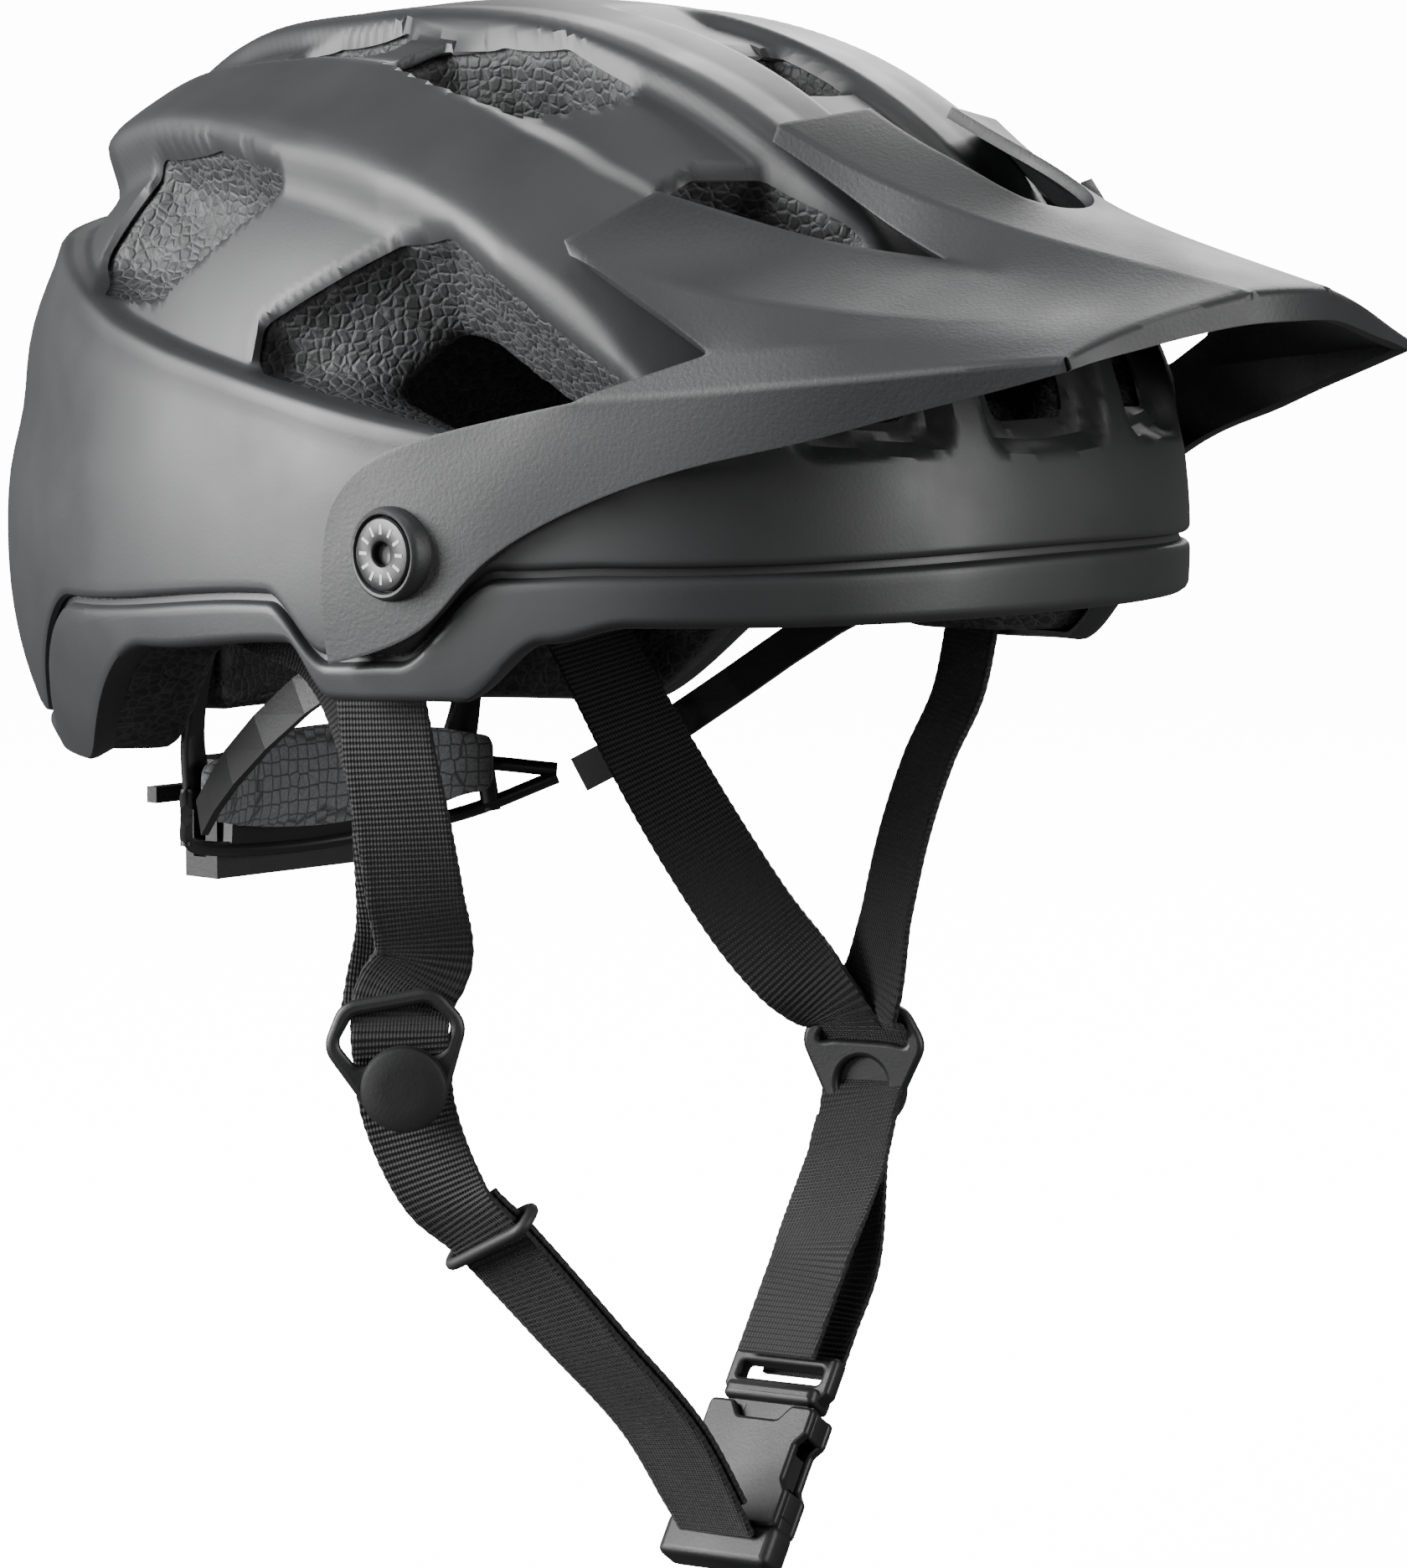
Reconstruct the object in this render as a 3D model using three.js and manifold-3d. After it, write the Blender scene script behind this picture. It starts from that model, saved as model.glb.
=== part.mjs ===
// Cycling helmet with a tilting visor, dial retention and chin straps, in millimetres, +Z up.
// Origin: centre of the head opening, at the level of the shell's widest line. The front faces -Y
// and the wearer's right side is -X.
import * as THREE from 'three';
import { mergeVertices } from 'three/addons/utils/BufferGeometryUtils.js';
import Module from 'manifold-3d';

const wasm = await Module();
wasm.setup();

// ---- driving dimensions ----
const HALF_WIDTH = 105;
const FRONT_LENGTH = 131;
const REAR_LENGTH = 127;
const CROWN_HEIGHT = 111;
const DEPTH_BELOW = 95;
const PLAN_POWER = 2.3;
const SIDE_POWER = 2.23;
const CROWN_LEAN = 10;
const SHELL_THICKNESS = 2.2;
const PIECE_GAP = 0.3;
const CAVITY_HALF_WIDTH = 79;
const CAVITY_FRONT = 99;
const CAVITY_REAR = 94;
const CAVITY_HEIGHT = 86;
const GROOVE_GAP = 0.8;
const COLUMNS = 54;
const ROWS = 11;
const VISOR_THICKNESS = 2.6;
const ARM_CLEARANCE = 1.6;
const ARM_THICKNESS = 2.4;
const SCREW_Y = -47.5;
const SCREW_Z = 3.8;
const SCREW_DISC_RADIUS = 7.3;
const SCREW_SHANK_RADIUS = 3;
const SCREW_FACE_X = 107.2;
const BOSS_RADIUS = 9;
const WEB_WIDTH = 20;
const WEB_THICKNESS = 1.6;
const TAIL_RISE = -2.1;
const KEEPER_PLACE = 0.42;
const DIAL_Z = -66;
const DIAL_RADIUS = 13;
const PINION_RADIUS = 4;
const RACK_Y = [94, 97];
const RACK_HEIGHT = 3.5;
const TEMPLE_PIN = [-50, -8];
const BUCKLE_FOOT = [4, -38, -207];
const BUCKLE_AXIS = [0.565, 0.085, 0.82];
const BUCKLE_ACROSS = [0.12, -1, 0.02];
const BUCKLE_FACE = [-0.818, -0.087, 0.569];
const MALE_START = 27.4;
const FORK_SPREAD = 5.4;

const deg = (value) => value * Math.PI / 180;
const vec = (x, y, z) => new THREE.Vector3(x, y, z);

// ---- materials ----
const paint = (color, roughness, metalness = 0) =>
  new THREE.MeshStandardMaterial({ color, roughness, metalness });
const shellPaint = () => paint(0x3b3c3e, 0.5);
const visorPlastic = () => paint(0x2d2e30, 0.62);
const foam = () => paint(0x2c2d2f, 0.85);
const blackPlastic = () => paint(0x151617, 0.45);
const webbing = () => paint(0x141516, 0.9);
const mesh = () => paint(0x55585a, 0.95);

const helmet = new THREE.Group();

function addNode(name, geometry, material, parent = helmet) {
  const node = new THREE.Mesh(geometry, material);
  node.name = name;
  parent.add(node);
  return node;
}

// ---- closed bodies and booleans ----
function geometryFrom(points, faces) {
  const geometry = new THREE.BufferGeometry();
  geometry.setAttribute('position', new THREE.Float32BufferAttribute(points.flatMap((p) => [p.x, p.y, p.z]), 3));
  geometry.setIndex(faces.flat());
  return geometry;
}

function solidOf(geometry) {
  const bare = geometry.clone();
  bare.deleteAttribute('normal');
  bare.deleteAttribute('uv');
  const merged = mergeVertices(bare, 1e-4);
  return new wasm.Manifold(new wasm.Mesh({
    numProp: 3,
    vertProperties: new Float32Array(merged.attributes.position.array),
    triVerts: new Uint32Array(merged.index.array),
  }));
}

function geometryOf(solid) {
  const body = solid.getMesh();
  const geometry = new THREE.BufferGeometry();
  geometry.setAttribute('position', new THREE.BufferAttribute(new Float32Array(body.vertProperties), 3));
  geometry.setIndex(new THREE.BufferAttribute(new Uint32Array(body.triVerts), 1));
  return geometry;
}

// Rings of equal length, joined into a tube and capped at both ends by fans.
function loftSolid(rings) {
  const count = rings[0].length;
  const points = rings.flat();
  const faces = [];
  for (let i = 0; i + 1 < rings.length; i++) {
    for (let j = 0; j < count; j++) {
      const a = i * count + j;
      const b = i * count + (j + 1) % count;
      faces.push([a, b, b + count], [a, b + count, a + count]);
    }
  }
  const middle = (ring) => ring.reduce((s, p) => s.add(p), vec(0, 0, 0)).divideScalar(count);
  const first = points.push(middle(rings[0])) - 1;
  const last = points.push(middle(rings[rings.length - 1])) - 1;
  const top = (rings.length - 1) * count;
  for (let j = 0; j < count; j++) {
    faces.push([first, (j + 1) % count, j]);
    faces.push([last, top + j, top + (j + 1) % count]);
  }
  return outwardFacing(points, faces);
}

function outwardFacing(points, faces) {
  let volume = 0;
  for (const [a, b, c] of faces) {
    volume += points[a].dot(points[b].clone().cross(points[c]));
  }
  const ordered = volume < 0 ? faces.map(([a, b, c]) => [a, c, b]) : faces;
  return geometryFrom(points, ordered);
}

function cylinderAlong(from, to, radius, sides = 24) {
  const axis = to.clone().sub(from);
  const geometry = new THREE.CylinderGeometry(radius, radius, axis.length(), sides);
  const turn = new THREE.Quaternion().setFromUnitVectors(vec(0, 1, 0), axis.clone().normalize());
  geometry.applyQuaternion(turn);
  const middle = from.clone().add(to).multiplyScalar(0.5);
  return geometry.translate(middle.x, middle.y, middle.z);
}

function boxBetween(low, high) {
  const size = high.map((value, i) => value - low[i]);
  const middle = high.map((value, i) => (value + low[i]) / 2);
  return new THREE.BoxGeometry(...size).translate(...middle);
}

const mirrored = (points) => points.map((p) => vec(-p.x, p.y, p.z)).reverse();

// ---- the head-shaped surface ----
// Heading 0 looks forward along -Y and grows toward the wearer's right; lift runs from the rim to the crown.
const SHELL_FORM = {
  width: HALF_WIDTH, front: FRONT_LENGTH, rear: REAR_LENGTH, crown: CROWN_HEIGHT, depth: DEPTH_BELOW, lean: CROWN_LEAN,
};
const CAVITY_FORM = {
  width: CAVITY_HALF_WIDTH, front: CAVITY_FRONT, rear: CAVITY_REAR, crown: CAVITY_HEIGHT, depth: 260, lean: CROWN_LEAN,
};

function formPoint(form, heading, lift) {
  const across = Math.abs(Math.sin(heading)) / form.width;
  const along = Math.abs(Math.cos(heading)) / (Math.cos(heading) > 0 ? form.front : form.rear);
  const plan = (across ** PLAN_POWER + along ** PLAN_POWER) ** (-1 / PLAN_POWER);
  const cosine = Math.cos(lift);
  const sine = Math.abs(Math.sin(lift));
  const scale = (cosine ** SIDE_POWER + sine ** SIDE_POWER) ** (-1 / SIDE_POWER);
  const z = Math.sign(lift) * (lift < 0 ? form.depth : form.crown) * sine * scale;
  const radius = plan * cosine * scale;
  const lean = z > 0 ? form.lean * (z / form.crown) ** 2 : 0;
  return vec(-Math.sin(heading) * radius, -Math.cos(heading) * radius + lean, z);
}

function formNormal(form, heading, lift) {
  const step = 0.01;
  const low = Math.min(lift, Math.PI / 2 - 2 * step);
  const sideways = formPoint(form, heading + step, low).sub(formPoint(form, heading - step, low));
  const upward = formPoint(form, heading, low + step).sub(formPoint(form, heading, low - step));
  return upward.cross(sideways).normalize();
}

function liftOfHeight(form, z) {
  const part = Math.min(Math.abs(z) / (z < 0 ? form.depth : form.crown), 0.999) ** SIDE_POWER;
  return Math.sign(z) * Math.atan((part / (1 - part)) ** (1 / SIDE_POWER));
}

function curveValue(knots, heading) {
  const turn = Math.abs(((heading * 180 / Math.PI + 540) % 360) - 180);
  for (let i = 0; i + 1 < knots.length; i++) {
    const [h0, z0] = knots[i];
    const [h1, z1] = knots[i + 1];
    if (turn <= h1) {
      const t = (turn - h0) / (h1 - h0);
      return z0 + (z1 - z0) * t * t * (3 - 2 * t);
    }
  }
  return knots[knots.length - 1][1];
}

// Heights of the lower edge of the helmet and of the groove between its two shells, by heading in degrees.
const RIM = [[0, -7.5], [42, -8], [50, -11.5], [59, -24], [75, -25], [80.5, -14], [104, -17.5], [127, -45], [180, -44]];
const GROOVE = [[0, 3], [44, 1], [54.5, 0], [66, -17.5], [75, -18.5], [83, -7], [118, -11.5], [136, -39], [180, -37]];

// ---- ribs and steps of the upper shell, as an outward offset ----
const smooth = (low, high, value) => {
  const t = Math.min(Math.max((value - low) / (high - low), 0), 1);
  return t * t * (3 - 2 * t);
};

function shellRelief(heading, lift) {
  const p = formPoint(SHELL_FORM, heading, lift);
  const x = Math.abs(p.x);
  const panelTop = curveValue([[0, 14], [58, 27], [80, 34], [108, 46], [134, 60], [180, 66]], heading);
  const aside = smooth(-112, -88, p.y);
  const valley = 4.5 * smooth(panelTop - 1, panelTop + 4, p.z) * aside;
  const outerRib = smooth(88, 82, x) * smooth(panelTop + 8, panelTop + 16, p.z);
  const aboveBrow = smooth(34, 54, p.z);
  const between = smooth(58, 52, x) * smooth(33, 38, x) * smooth(70, 45, p.y) * aboveBrow;
  const centre = smooth(12, 8, x) * smooth(-20, -34, p.y) * aboveBrow;
  const tail = 3.2 * smooth(30, 75, p.y) * smooth(55, 80, p.z) * outerRib;
  return -valley * (1 - outerRib) - 4.5 * between - 3 * centre + tail;
}

const noRelief = () => 0;

// A closed wall between an outer and an inner surface. Each heading gives its own list of lifts.
function wallSolid({ lifts, closedTop, outer, inner, relief = noRelief, innerPoint = null }) {
  const points = [];
  const faces = [];
  const headings = Array.from({ length: COLUMNS }, (_, i) => i / COLUMNS * 2 * Math.PI);
  const levels = lifts(0).length;
  const place = (heading, lift, offset) => formPoint(SHELL_FORM, heading, lift)
    .addScaledVector(formNormal(SHELL_FORM, heading, lift), offset + relief(heading, lift));
  for (const heading of headings) {
    for (const lift of lifts(heading)) points.push(place(heading, lift, outer));
  }
  for (const heading of headings) {
    lifts(heading).forEach((lift, k) => {
      points.push(innerPoint ? innerPoint(heading, k / levels, lifts(heading)[0]) : place(heading, lift, inner));
    });
  }
  const at = (side, i, k) => side * COLUMNS * levels + (i % COLUMNS) * levels + k;
  const quad = (a, b, c, d) => faces.push([a, b, c], [a, c, d]);
  const crownRelief = relief(0, Math.PI / 2);
  const outerPole = points.push(vec(0, CROWN_LEAN, CROWN_HEIGHT + outer + crownRelief)) - 1;
  const innerPole = points.push(innerPoint ? innerPoint(0, 1, 0)
    : vec(0, CROWN_LEAN, CROWN_HEIGHT + inner + crownRelief)) - 1;
  const top = levels - 1;
  for (let i = 0; i < COLUMNS; i++) {
    for (let k = 0; k < top; k++) {
      quad(at(0, i, k), at(0, i, k + 1), at(0, i + 1, k + 1), at(0, i + 1, k));
      quad(at(1, i, k), at(1, i + 1, k), at(1, i + 1, k + 1), at(1, i, k + 1));
    }
    quad(at(0, i, 0), at(0, i + 1, 0), at(1, i + 1, 0), at(1, i, 0));
    if (closedTop) {
      faces.push([at(0, i, top), outerPole, at(0, i + 1, top)]);
      faces.push([at(1, i, top), at(1, i + 1, top), innerPole]);
    } else {
      quad(at(0, i, top), at(1, i, top), at(1, i + 1, top), at(0, i + 1, top));
    }
  }
  if (!closedTop) points.length -= 2;
  return outwardFacing(points, faces);
}

const rimLift = (heading, raise) => liftOfHeight(SHELL_FORM, curveValue(RIM, heading) + raise);
const grooveLift = (heading, raise) => liftOfHeight(SHELL_FORM, curveValue(GROOVE, heading) + raise);

function upperLifts(heading) {
  const start = grooveLift(heading, GROOVE_GAP / 2);
  return Array.from({ length: ROWS }, (_, k) => start + (Math.PI / 2 - start) * k / ROWS);
}

// ---- vents: outlines in degrees of heading and lift, cut inward with a taper ----
const VENTS = [
  { outline: [[128, 44], [111, 45.5], [92, 42.5], [109, 28], [121, 27], [128.5, 31.5]], shrink: 0.66 },
  { outline: [[69, 34.5], [61, 34.5], [39, 16.5], [58, 14.5], [72, 17.5], [88, 20.5], [88, 25]], shrink: 0.7 },
  { outline: [[36, 40.5], [31, 43.5], [22, 43.5], [16, 34], [20, 29], [33, 31]], shrink: 0.7 },
  { outline: [[88, 61], [80, 67], [60, 68], [44, 64.5], [33, 57], [40, 55], [54, 52.5], [72, 57]], shrink: 0.65 },
  { outline: [[133, 63], [126, 67], [100, 70], [97, 66], [125, 61]], shrink: 0.7 },
  { outline: [[26, 22], [14, 22], [14, 15.5], [25, 14.5]], shrink: 0.85 },
  { outline: [[156, 36], [140, 37], [141, 50], [156, 51]], shrink: 0.8 },
];
const CENTRE_VENTS = [
  { outline: [[10, 66], [-10, 66], [-7, 56], [7, 56]], shrink: 0.8 },
  { outline: [[6, 22], [-6, 22], [-5.5, 15], [5.5, 15]], shrink: 0.9 },
  { outline: [[168, 60], [192, 60], [188, 50], [172, 50]], shrink: 0.8 },
];

function ventCutter({ outline, shrink }, grow) {
  const surface = outline.map(([h, l]) => formPoint(SHELL_FORM, deg(h), deg(l)));
  const normals = outline.map(([h, l]) => formNormal(SHELL_FORM, deg(h), deg(l)));
  const middle = surface.reduce((s, p) => s.add(p), vec(0, 0, 0)).divideScalar(surface.length);
  const facing = normals.reduce((s, n) => s.add(n), vec(0, 0, 0)).normalize();
  const ring = (scale, shift) => surface.map((p) => p.clone().sub(middle).multiplyScalar(scale)
    .add(middle).addScaledVector(facing, shift));
  return loftSolid([ring(grow * 1.06, 14), ring(grow, 0), ring(grow * shrink, -52)]);
}

function mirrorGeometry(geometry) {
  const copy = geometry.clone().scale(-1, 1, 1);
  const order = Array.from(copy.index.array);
  for (let i = 0; i < order.length; i += 3) {
    [order[i], order[i + 1]] = [order[i + 1], order[i]];
  }
  copy.setIndex(order);
  return copy;
}

function cutVents(solid, grow) {
  let result = solid;
  for (const vent of VENTS) {
    const cutter = ventCutter(vent, grow);
    result = result.subtract(solidOf(cutter)).subtract(solidOf(mirrorGeometry(cutter)));
  }
  for (const vent of CENTRE_VENTS) {
    result = result.subtract(solidOf(ventCutter(vent, grow)));
  }
  return result;
}

function cutSides(solid, from, to, radius, y, z) {
  let result = solid;
  for (const side of [-1, 1]) {
    result = result.subtract(solidOf(cylinderAlong(vec(side * from, y, z), vec(side * to, y, z), radius)));
  }
  return result;
}

// ---- shells and liner ----
const EAR_SLOT = [[82, 94], [-44, -17], [-60, -9]];
const REAR_SLOT = [[50, 66], [62, 80], [-16, 0]];
const PIN_RADIUS = 2.5;

// A box given by ranges of |x|, y and z on one side of the helmet.
function sideBox(side, [xs, ys, zs], shrink = 0) {
  const ends = [side * (xs[0] + shrink), side * (xs[1] - shrink)].sort((a, b) => a - b);
  return boxBetween([ends[0], ys[0] + shrink, zs[0] + shrink], [ends[1], ys[1] - shrink, zs[1] - shrink]);
}

const INSERT_RADIUS = 5;
const INSERT_DEPTH_X = 90;

function outerShell() {
  const wall = wallSolid({
    lifts: upperLifts, closedTop: true, outer: 0, inner: -SHELL_THICKNESS, relief: shellRelief,
  });
  const cut = cutVents(solidOf(wall), 1);
  return geometryOf(cutSides(cut, 80, 120, INSERT_RADIUS + PIECE_GAP, SCREW_Y, SCREW_Z));
}

function lowerShell() {
  return wallSolid({
    lifts: (heading) => [rimLift(heading, 0), grooveLift(heading, -GROOVE_GAP / 2)],
    closedTop: false, outer: 0, inner: -SHELL_THICKNESS,
  });
}

function liner() {
  const innerPoint = (heading, part, start) => {
    const low = liftOfHeight(CAVITY_FORM, formPoint(SHELL_FORM, heading, start).z);
    return formPoint(CAVITY_FORM, heading, low + (Math.PI / 2 - low) * part);
  };
  const wall = wallSolid({
    lifts: (heading) => [rimLift(heading, 1), ...upperLifts(heading)],
    closedTop: true, outer: -SHELL_THICKNESS - PIECE_GAP, inner: 0, relief: shellRelief, innerPoint,
  });
  let body = cutVents(solidOf(wall), 0.97);
  body = cutSides(body, INSERT_DEPTH_X - PIECE_GAP, 120, INSERT_RADIUS + PIECE_GAP, SCREW_Y, SCREW_Z);
  for (const side of [-1, 1]) {
    body = body.subtract(solidOf(sideBox(side, EAR_SLOT)));
    body = body.subtract(solidOf(sideBox(side, REAR_SLOT)));
    const pin = cylinderAlong(vec(side * 60, ...TEMPLE_PIN), vec(side * 90, ...TEMPLE_PIN), PIN_RADIUS + PIECE_GAP);
    body = body.subtract(solidOf(pin));
  }
  return geometryOf(body);
}

addNode('outer_shell', outerShell(), shellPaint());
addNode('lower_shell', lowerShell(), shellPaint());
addNode('eps_liner', liner(), foam());

// ---- visor ----
// The visor's right half as a net of points; the arm plate is a separate closed patch joined to it.
const VISOR_POINTS = {
  fold0: [-101, -52, 24], fold1: [-89, -84, 34], fold2: [-81, -107, 38.8], fold3: [-74, -125, 40.5],
  fold4: [-67.5, -140, 41], fold5: [-60, -156, 41.8], fold6: [-51.5, -174.5, 43.5],
  low0: [-96, -70, 8], low1: [-88.2, -86, 15], low2: [-79.5, -107, 22], low3: [-70.5, -125, 27],
  low4: [-64.5, -140, 32], low5: [-58, -156, 36.5], low6: [-51, -174.7, 42],
  tip: [-76, -107, 43], side3: [-69, -125, 45], side4: [-61, -139, 46], side5: [-53, -156, 46],
  side6: [-45, -175.5, 46], side7: [-44, -176.5, 43.6],
  finFoot0: [-77, -76, 62], finFoot1: [-78, -90, 53.2],
  fin0: [-75, -77, 64], fin1: [-73, -89, 58.5], fin2: [-70, -104, 53], fin3: [-60, -125, 50.5],
  fin4: [-54, -139, 49.6], fin5: [-45, -156, 48.9], fin6: [-38, -177.5, 48.5], fin7: [-36, -178.5, 45.2],
  inner0: [-60.5, -86, 72], inner1: [-52, -98, 67], inner2: [-42, -110, 62.3],
  valley3: [-30, -127, 59.7], valley4: [-30, -141, 56.8], valley5: [-28, -158, 54],
  valley6: [-26, -181.5, 52], valley7: [-25, -182, 47.7],
  crestFoot0: [-31.5, -86, 86], crestFoot1: [-30, -98, 77], crestFoot2: [-28.5, -111, 66],
  crest0: [-30, -86, 88.5], crest1: [-28, -99, 80], crest2: [-25, -115, 71.5], crest3: [-22, -127, 67.8],
  crest4: [-19.5, -140, 64.5], crest5: [-16, -158, 60.6], crest6: [-12, -186, 54.8], crest7: [-13, -186.2, 49.6],
  ridge0: [-12, -90, 91.5], ridge1: [-13, -103, 83.5], ridge2: [-12.5, -117, 75.5], ridge3: [-11, -131, 70],
  ridge4: [-9, -141, 66.5], ridge5: [-8, -159, 62.2], ridge6: [-6, -187.2, 55.1], ridge7: [-6, -187.7, 49.8],
  mid3: [0, -135, 68.5], mid4: [0, -142, 66.3], mid5: [0, -160, 62.4], mid6: [0, -187.5, 55.2], mid7: [0, -188, 49.8],
};
const VISOR_FACES = [
  'fold0 fold1 low1 low0', 'fold1 fold2 low2 low1', 'fold2 fold3 low3 low2', 'fold3 fold4 low4 low3',
  'fold4 fold5 low5 low4', 'fold5 fold6 low6 low5', 'fold1 tip fold2',
  'finFoot0 fin0 fin1 finFoot1', 'finFoot1 fin1 fin2 tip', 'fin0 inner0 inner1 fin1', 'fin1 inner1 inner2 fin2',
  'fin2 inner2 valley3 fin3', 'tip fin2 fin3 side3', 'fold2 tip side3 fold3',
  'crestFoot0 crest0 crest1 crestFoot1', 'crestFoot1 crest1 crest2 crestFoot2', 'crestFoot2 crest2 crest3 valley3',
  'crest0 ridge0 ridge1 crest1', 'crest1 ridge1 ridge2 crest2', 'crest2 ridge2 ridge3 crest3',
  'fold3 side3 side4 fold4', 'side3 fin3 fin4 side4', 'fin3 valley3 valley4 fin4', 'valley3 crest3 crest4 valley4',
  'crest3 ridge3 ridge4 crest4', 'ridge3 mid3 mid4 ridge4',
  'fold4 side4 side5 fold5', 'side4 fin4 fin5 side5', 'fin4 valley4 valley5 fin5', 'valley4 crest4 crest5 valley5',
  'crest4 ridge4 ridge5 crest5', 'ridge4 mid4 mid5 ridge5',
  'fold5 side5 side6 fold6', 'side5 fin5 fin6 side6', 'fin5 valley5 valley6 fin6', 'valley5 crest5 crest6 valley6',
  'crest5 ridge5 ridge6 crest6', 'ridge5 mid5 mid6 ridge6',
  'fold6 side6 side7 low6', 'side6 fin6 fin7 side7', 'fin6 valley6 valley7 fin7', 'valley6 crest6 crest7 valley7',
  'crest6 ridge6 ridge7 crest7', 'ridge6 mid6 mid7 ridge7',
];
const ARM_OUTLINE = [
  [-32, -18], [-30.5, -3], [-31.5, 12], [-37, 20], [-50, 25], [-64, 28.5], [-76, 31], [-82, 16],
  [-71, 8], [-63, 0], [-57, -9.5],
];

// A sheet of polygons thickened along its vertex normals into a closed body.
function netSolid(names, faces, thickness) {
  const keys = [];
  const points = [];
  const index = new Map();
  const add = (key, x, y, z) => {
    index.set(key, points.length);
    keys.push(key);
    points.push(vec(x, y, z));
  };
  for (const [name, [x, y, z]] of Object.entries(names)) {
    add(`${name}-R`, x, y, z);
    if (x !== 0) add(`${name}-L`, -x, y, z);
    else index.set(`${name}-L`, index.get(`${name}-R`));
  }
  const triangles = [];
  for (const face of faces) {
    const right = face.split(' ').map((name) => index.get(`${name}-R`));
    const left = face.split(' ').map((name) => index.get(`${name}-L`)).reverse();
    for (const loop of [right, left]) {
      for (let i = 1; i + 1 < loop.length; i++) triangles.push([loop[0], loop[i], loop[i + 1]]);
    }
  }
  const normals = points.map(() => vec(0, 0, 0));
  for (const [a, b, c] of triangles) {
    const n = points[b].clone().sub(points[a]).cross(points[c].clone().sub(points[a]));
    for (const i of [a, b, c]) normals[i].add(n.clone().normalize());
  }
  const count = points.length;
  const body = points.map((p, i) => p.clone().addScaledVector(normals[i].normalize(), thickness / 2));
  body.push(...points.map((p, i) => p.clone().addScaledVector(normals[i], -thickness / 2)));
  const solid = [];
  const edges = new Set(triangles.flatMap(([a, b, c]) => [`${a},${b}`, `${b},${c}`, `${c},${a}`]));
  for (const [a, b, c] of triangles) {
    solid.push([a, b, c], [a + count, c + count, b + count]);
    for (const [s, e] of [[a, b], [b, c], [c, a]]) {
      if (!edges.has(`${e},${s}`)) solid.push([s, s + count, e + count], [s, e + count, e]);
    }
  }
  return outwardFacing(body, solid);
}

// A closed patch of the shell form between two offsets, over a window of headings and lifts.
function patchSolid(form, headings, lifts, low, high, columns, rows) {
  const ring = (i) => {
    const heading = deg(headings[0] + (headings[1] - headings[0]) * i / columns);
    const side = (offset) => Array.from({ length: rows + 1 }, (_, k) => {
      const lift = deg(lifts[0] + (lifts[1] - lifts[0]) * k / rows);
      return formPoint(form, heading, lift).addScaledVector(formNormal(form, heading, lift), offset);
    });
    return [...side(high), ...side(low).reverse()];
  };
  return loftSolid(Array.from({ length: columns + 1 }, (_, i) => ring(i)));
}

function prismAlongX(outline, from, to) {
  const ring = (x) => outline.map(([y, z]) => vec(x, y, z));
  return loftSolid([ring(from), ring((from + to) / 2), ring(to)]);
}

function armPlate() {
  const band = solidOf(patchSolid(SHELL_FORM, [34, 92], [-20, 22], ARM_CLEARANCE, ARM_CLEARANCE + ARM_THICKNESS, 12, 6));
  const plate = band.intersect(solidOf(prismAlongX(ARM_OUTLINE, -120, -70)));
  const keepOut = solidOf(patchSolid(SHELL_FORM, [34, 92], [-20, 22], -30, ARM_CLEARANCE, 12, 6));
  const boss = solidOf(cylinderAlong(vec(-98, SCREW_Y, SCREW_Z), vec(-SCREW_FACE_X, SCREW_Y, SCREW_Z), BOSS_RADIUS, 32));
  return plate.add(boss.subtract(keepOut));
}

function visorBody() {
  const arm = geometryOf(armPlate());
  const net = solidOf(netSolid(VISOR_POINTS, VISOR_FACES, VISOR_THICKNESS));
  let body = net.add(solidOf(arm)).add(solidOf(mirrorGeometry(arm)));
  body = cutSides(body, 90, 120, SCREW_SHANK_RADIUS + PIECE_GAP, SCREW_Y, SCREW_Z);
  body = cutSides(body, SCREW_FACE_X - 2.4, 120, SCREW_DISC_RADIUS + PIECE_GAP, SCREW_Y, SCREW_Z);
  return geometryOf(body);
}

addNode('visor', visorBody(), visorPlastic());

// ---- visor screws and their inserts ----
const SHANK_END_X = 96;

function screw(side) {
  const profile = [
    [0, 0], [SCREW_SHANK_RADIUS, 0], [SCREW_SHANK_RADIUS, SCREW_FACE_X - 2.1 - SHANK_END_X],
    [SCREW_DISC_RADIUS, SCREW_FACE_X - 2.1 - SHANK_END_X], [SCREW_DISC_RADIUS, SCREW_FACE_X - 0.7 - SHANK_END_X],
    [SCREW_DISC_RADIUS - 0.7, SCREW_FACE_X - SHANK_END_X], [2.4, SCREW_FACE_X - SHANK_END_X],
    [2.4, SCREW_FACE_X - 1.6 - SHANK_END_X], [0, SCREW_FACE_X - 1.6 - SHANK_END_X],
  ].map(([r, h]) => new THREE.Vector2(r, h));
  const body = new THREE.LatheGeometry(profile, 24).rotateZ(side < 0 ? Math.PI / 2 : -Math.PI / 2);
  return geometryOf(solidOf(body.translate(side * SHANK_END_X, SCREW_Y, SCREW_Z)));
}

function insert(side) {
  const outer = solidOf(cylinderAlong(vec(side * INSERT_DEPTH_X, SCREW_Y, SCREW_Z), vec(side * 100.5, SCREW_Y, SCREW_Z), INSERT_RADIUS));
  const bore = cylinderAlong(vec(side * (SHANK_END_X - 1), SCREW_Y, SCREW_Z), vec(side * 130, SCREW_Y, SCREW_Z), SCREW_SHANK_RADIUS + PIECE_GAP);
  return geometryOf(outer.subtract(solidOf(bore)));
}

for (const [side, word] of [[-1, 'right'], [1, 'left']]) {
  addNode(`visor_screw_${word}`, screw(side), blackPlastic());
  addNode(`screw_insert_${word}`, insert(side), paint(0xb08d4a, 0.35, 1));
}

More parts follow.
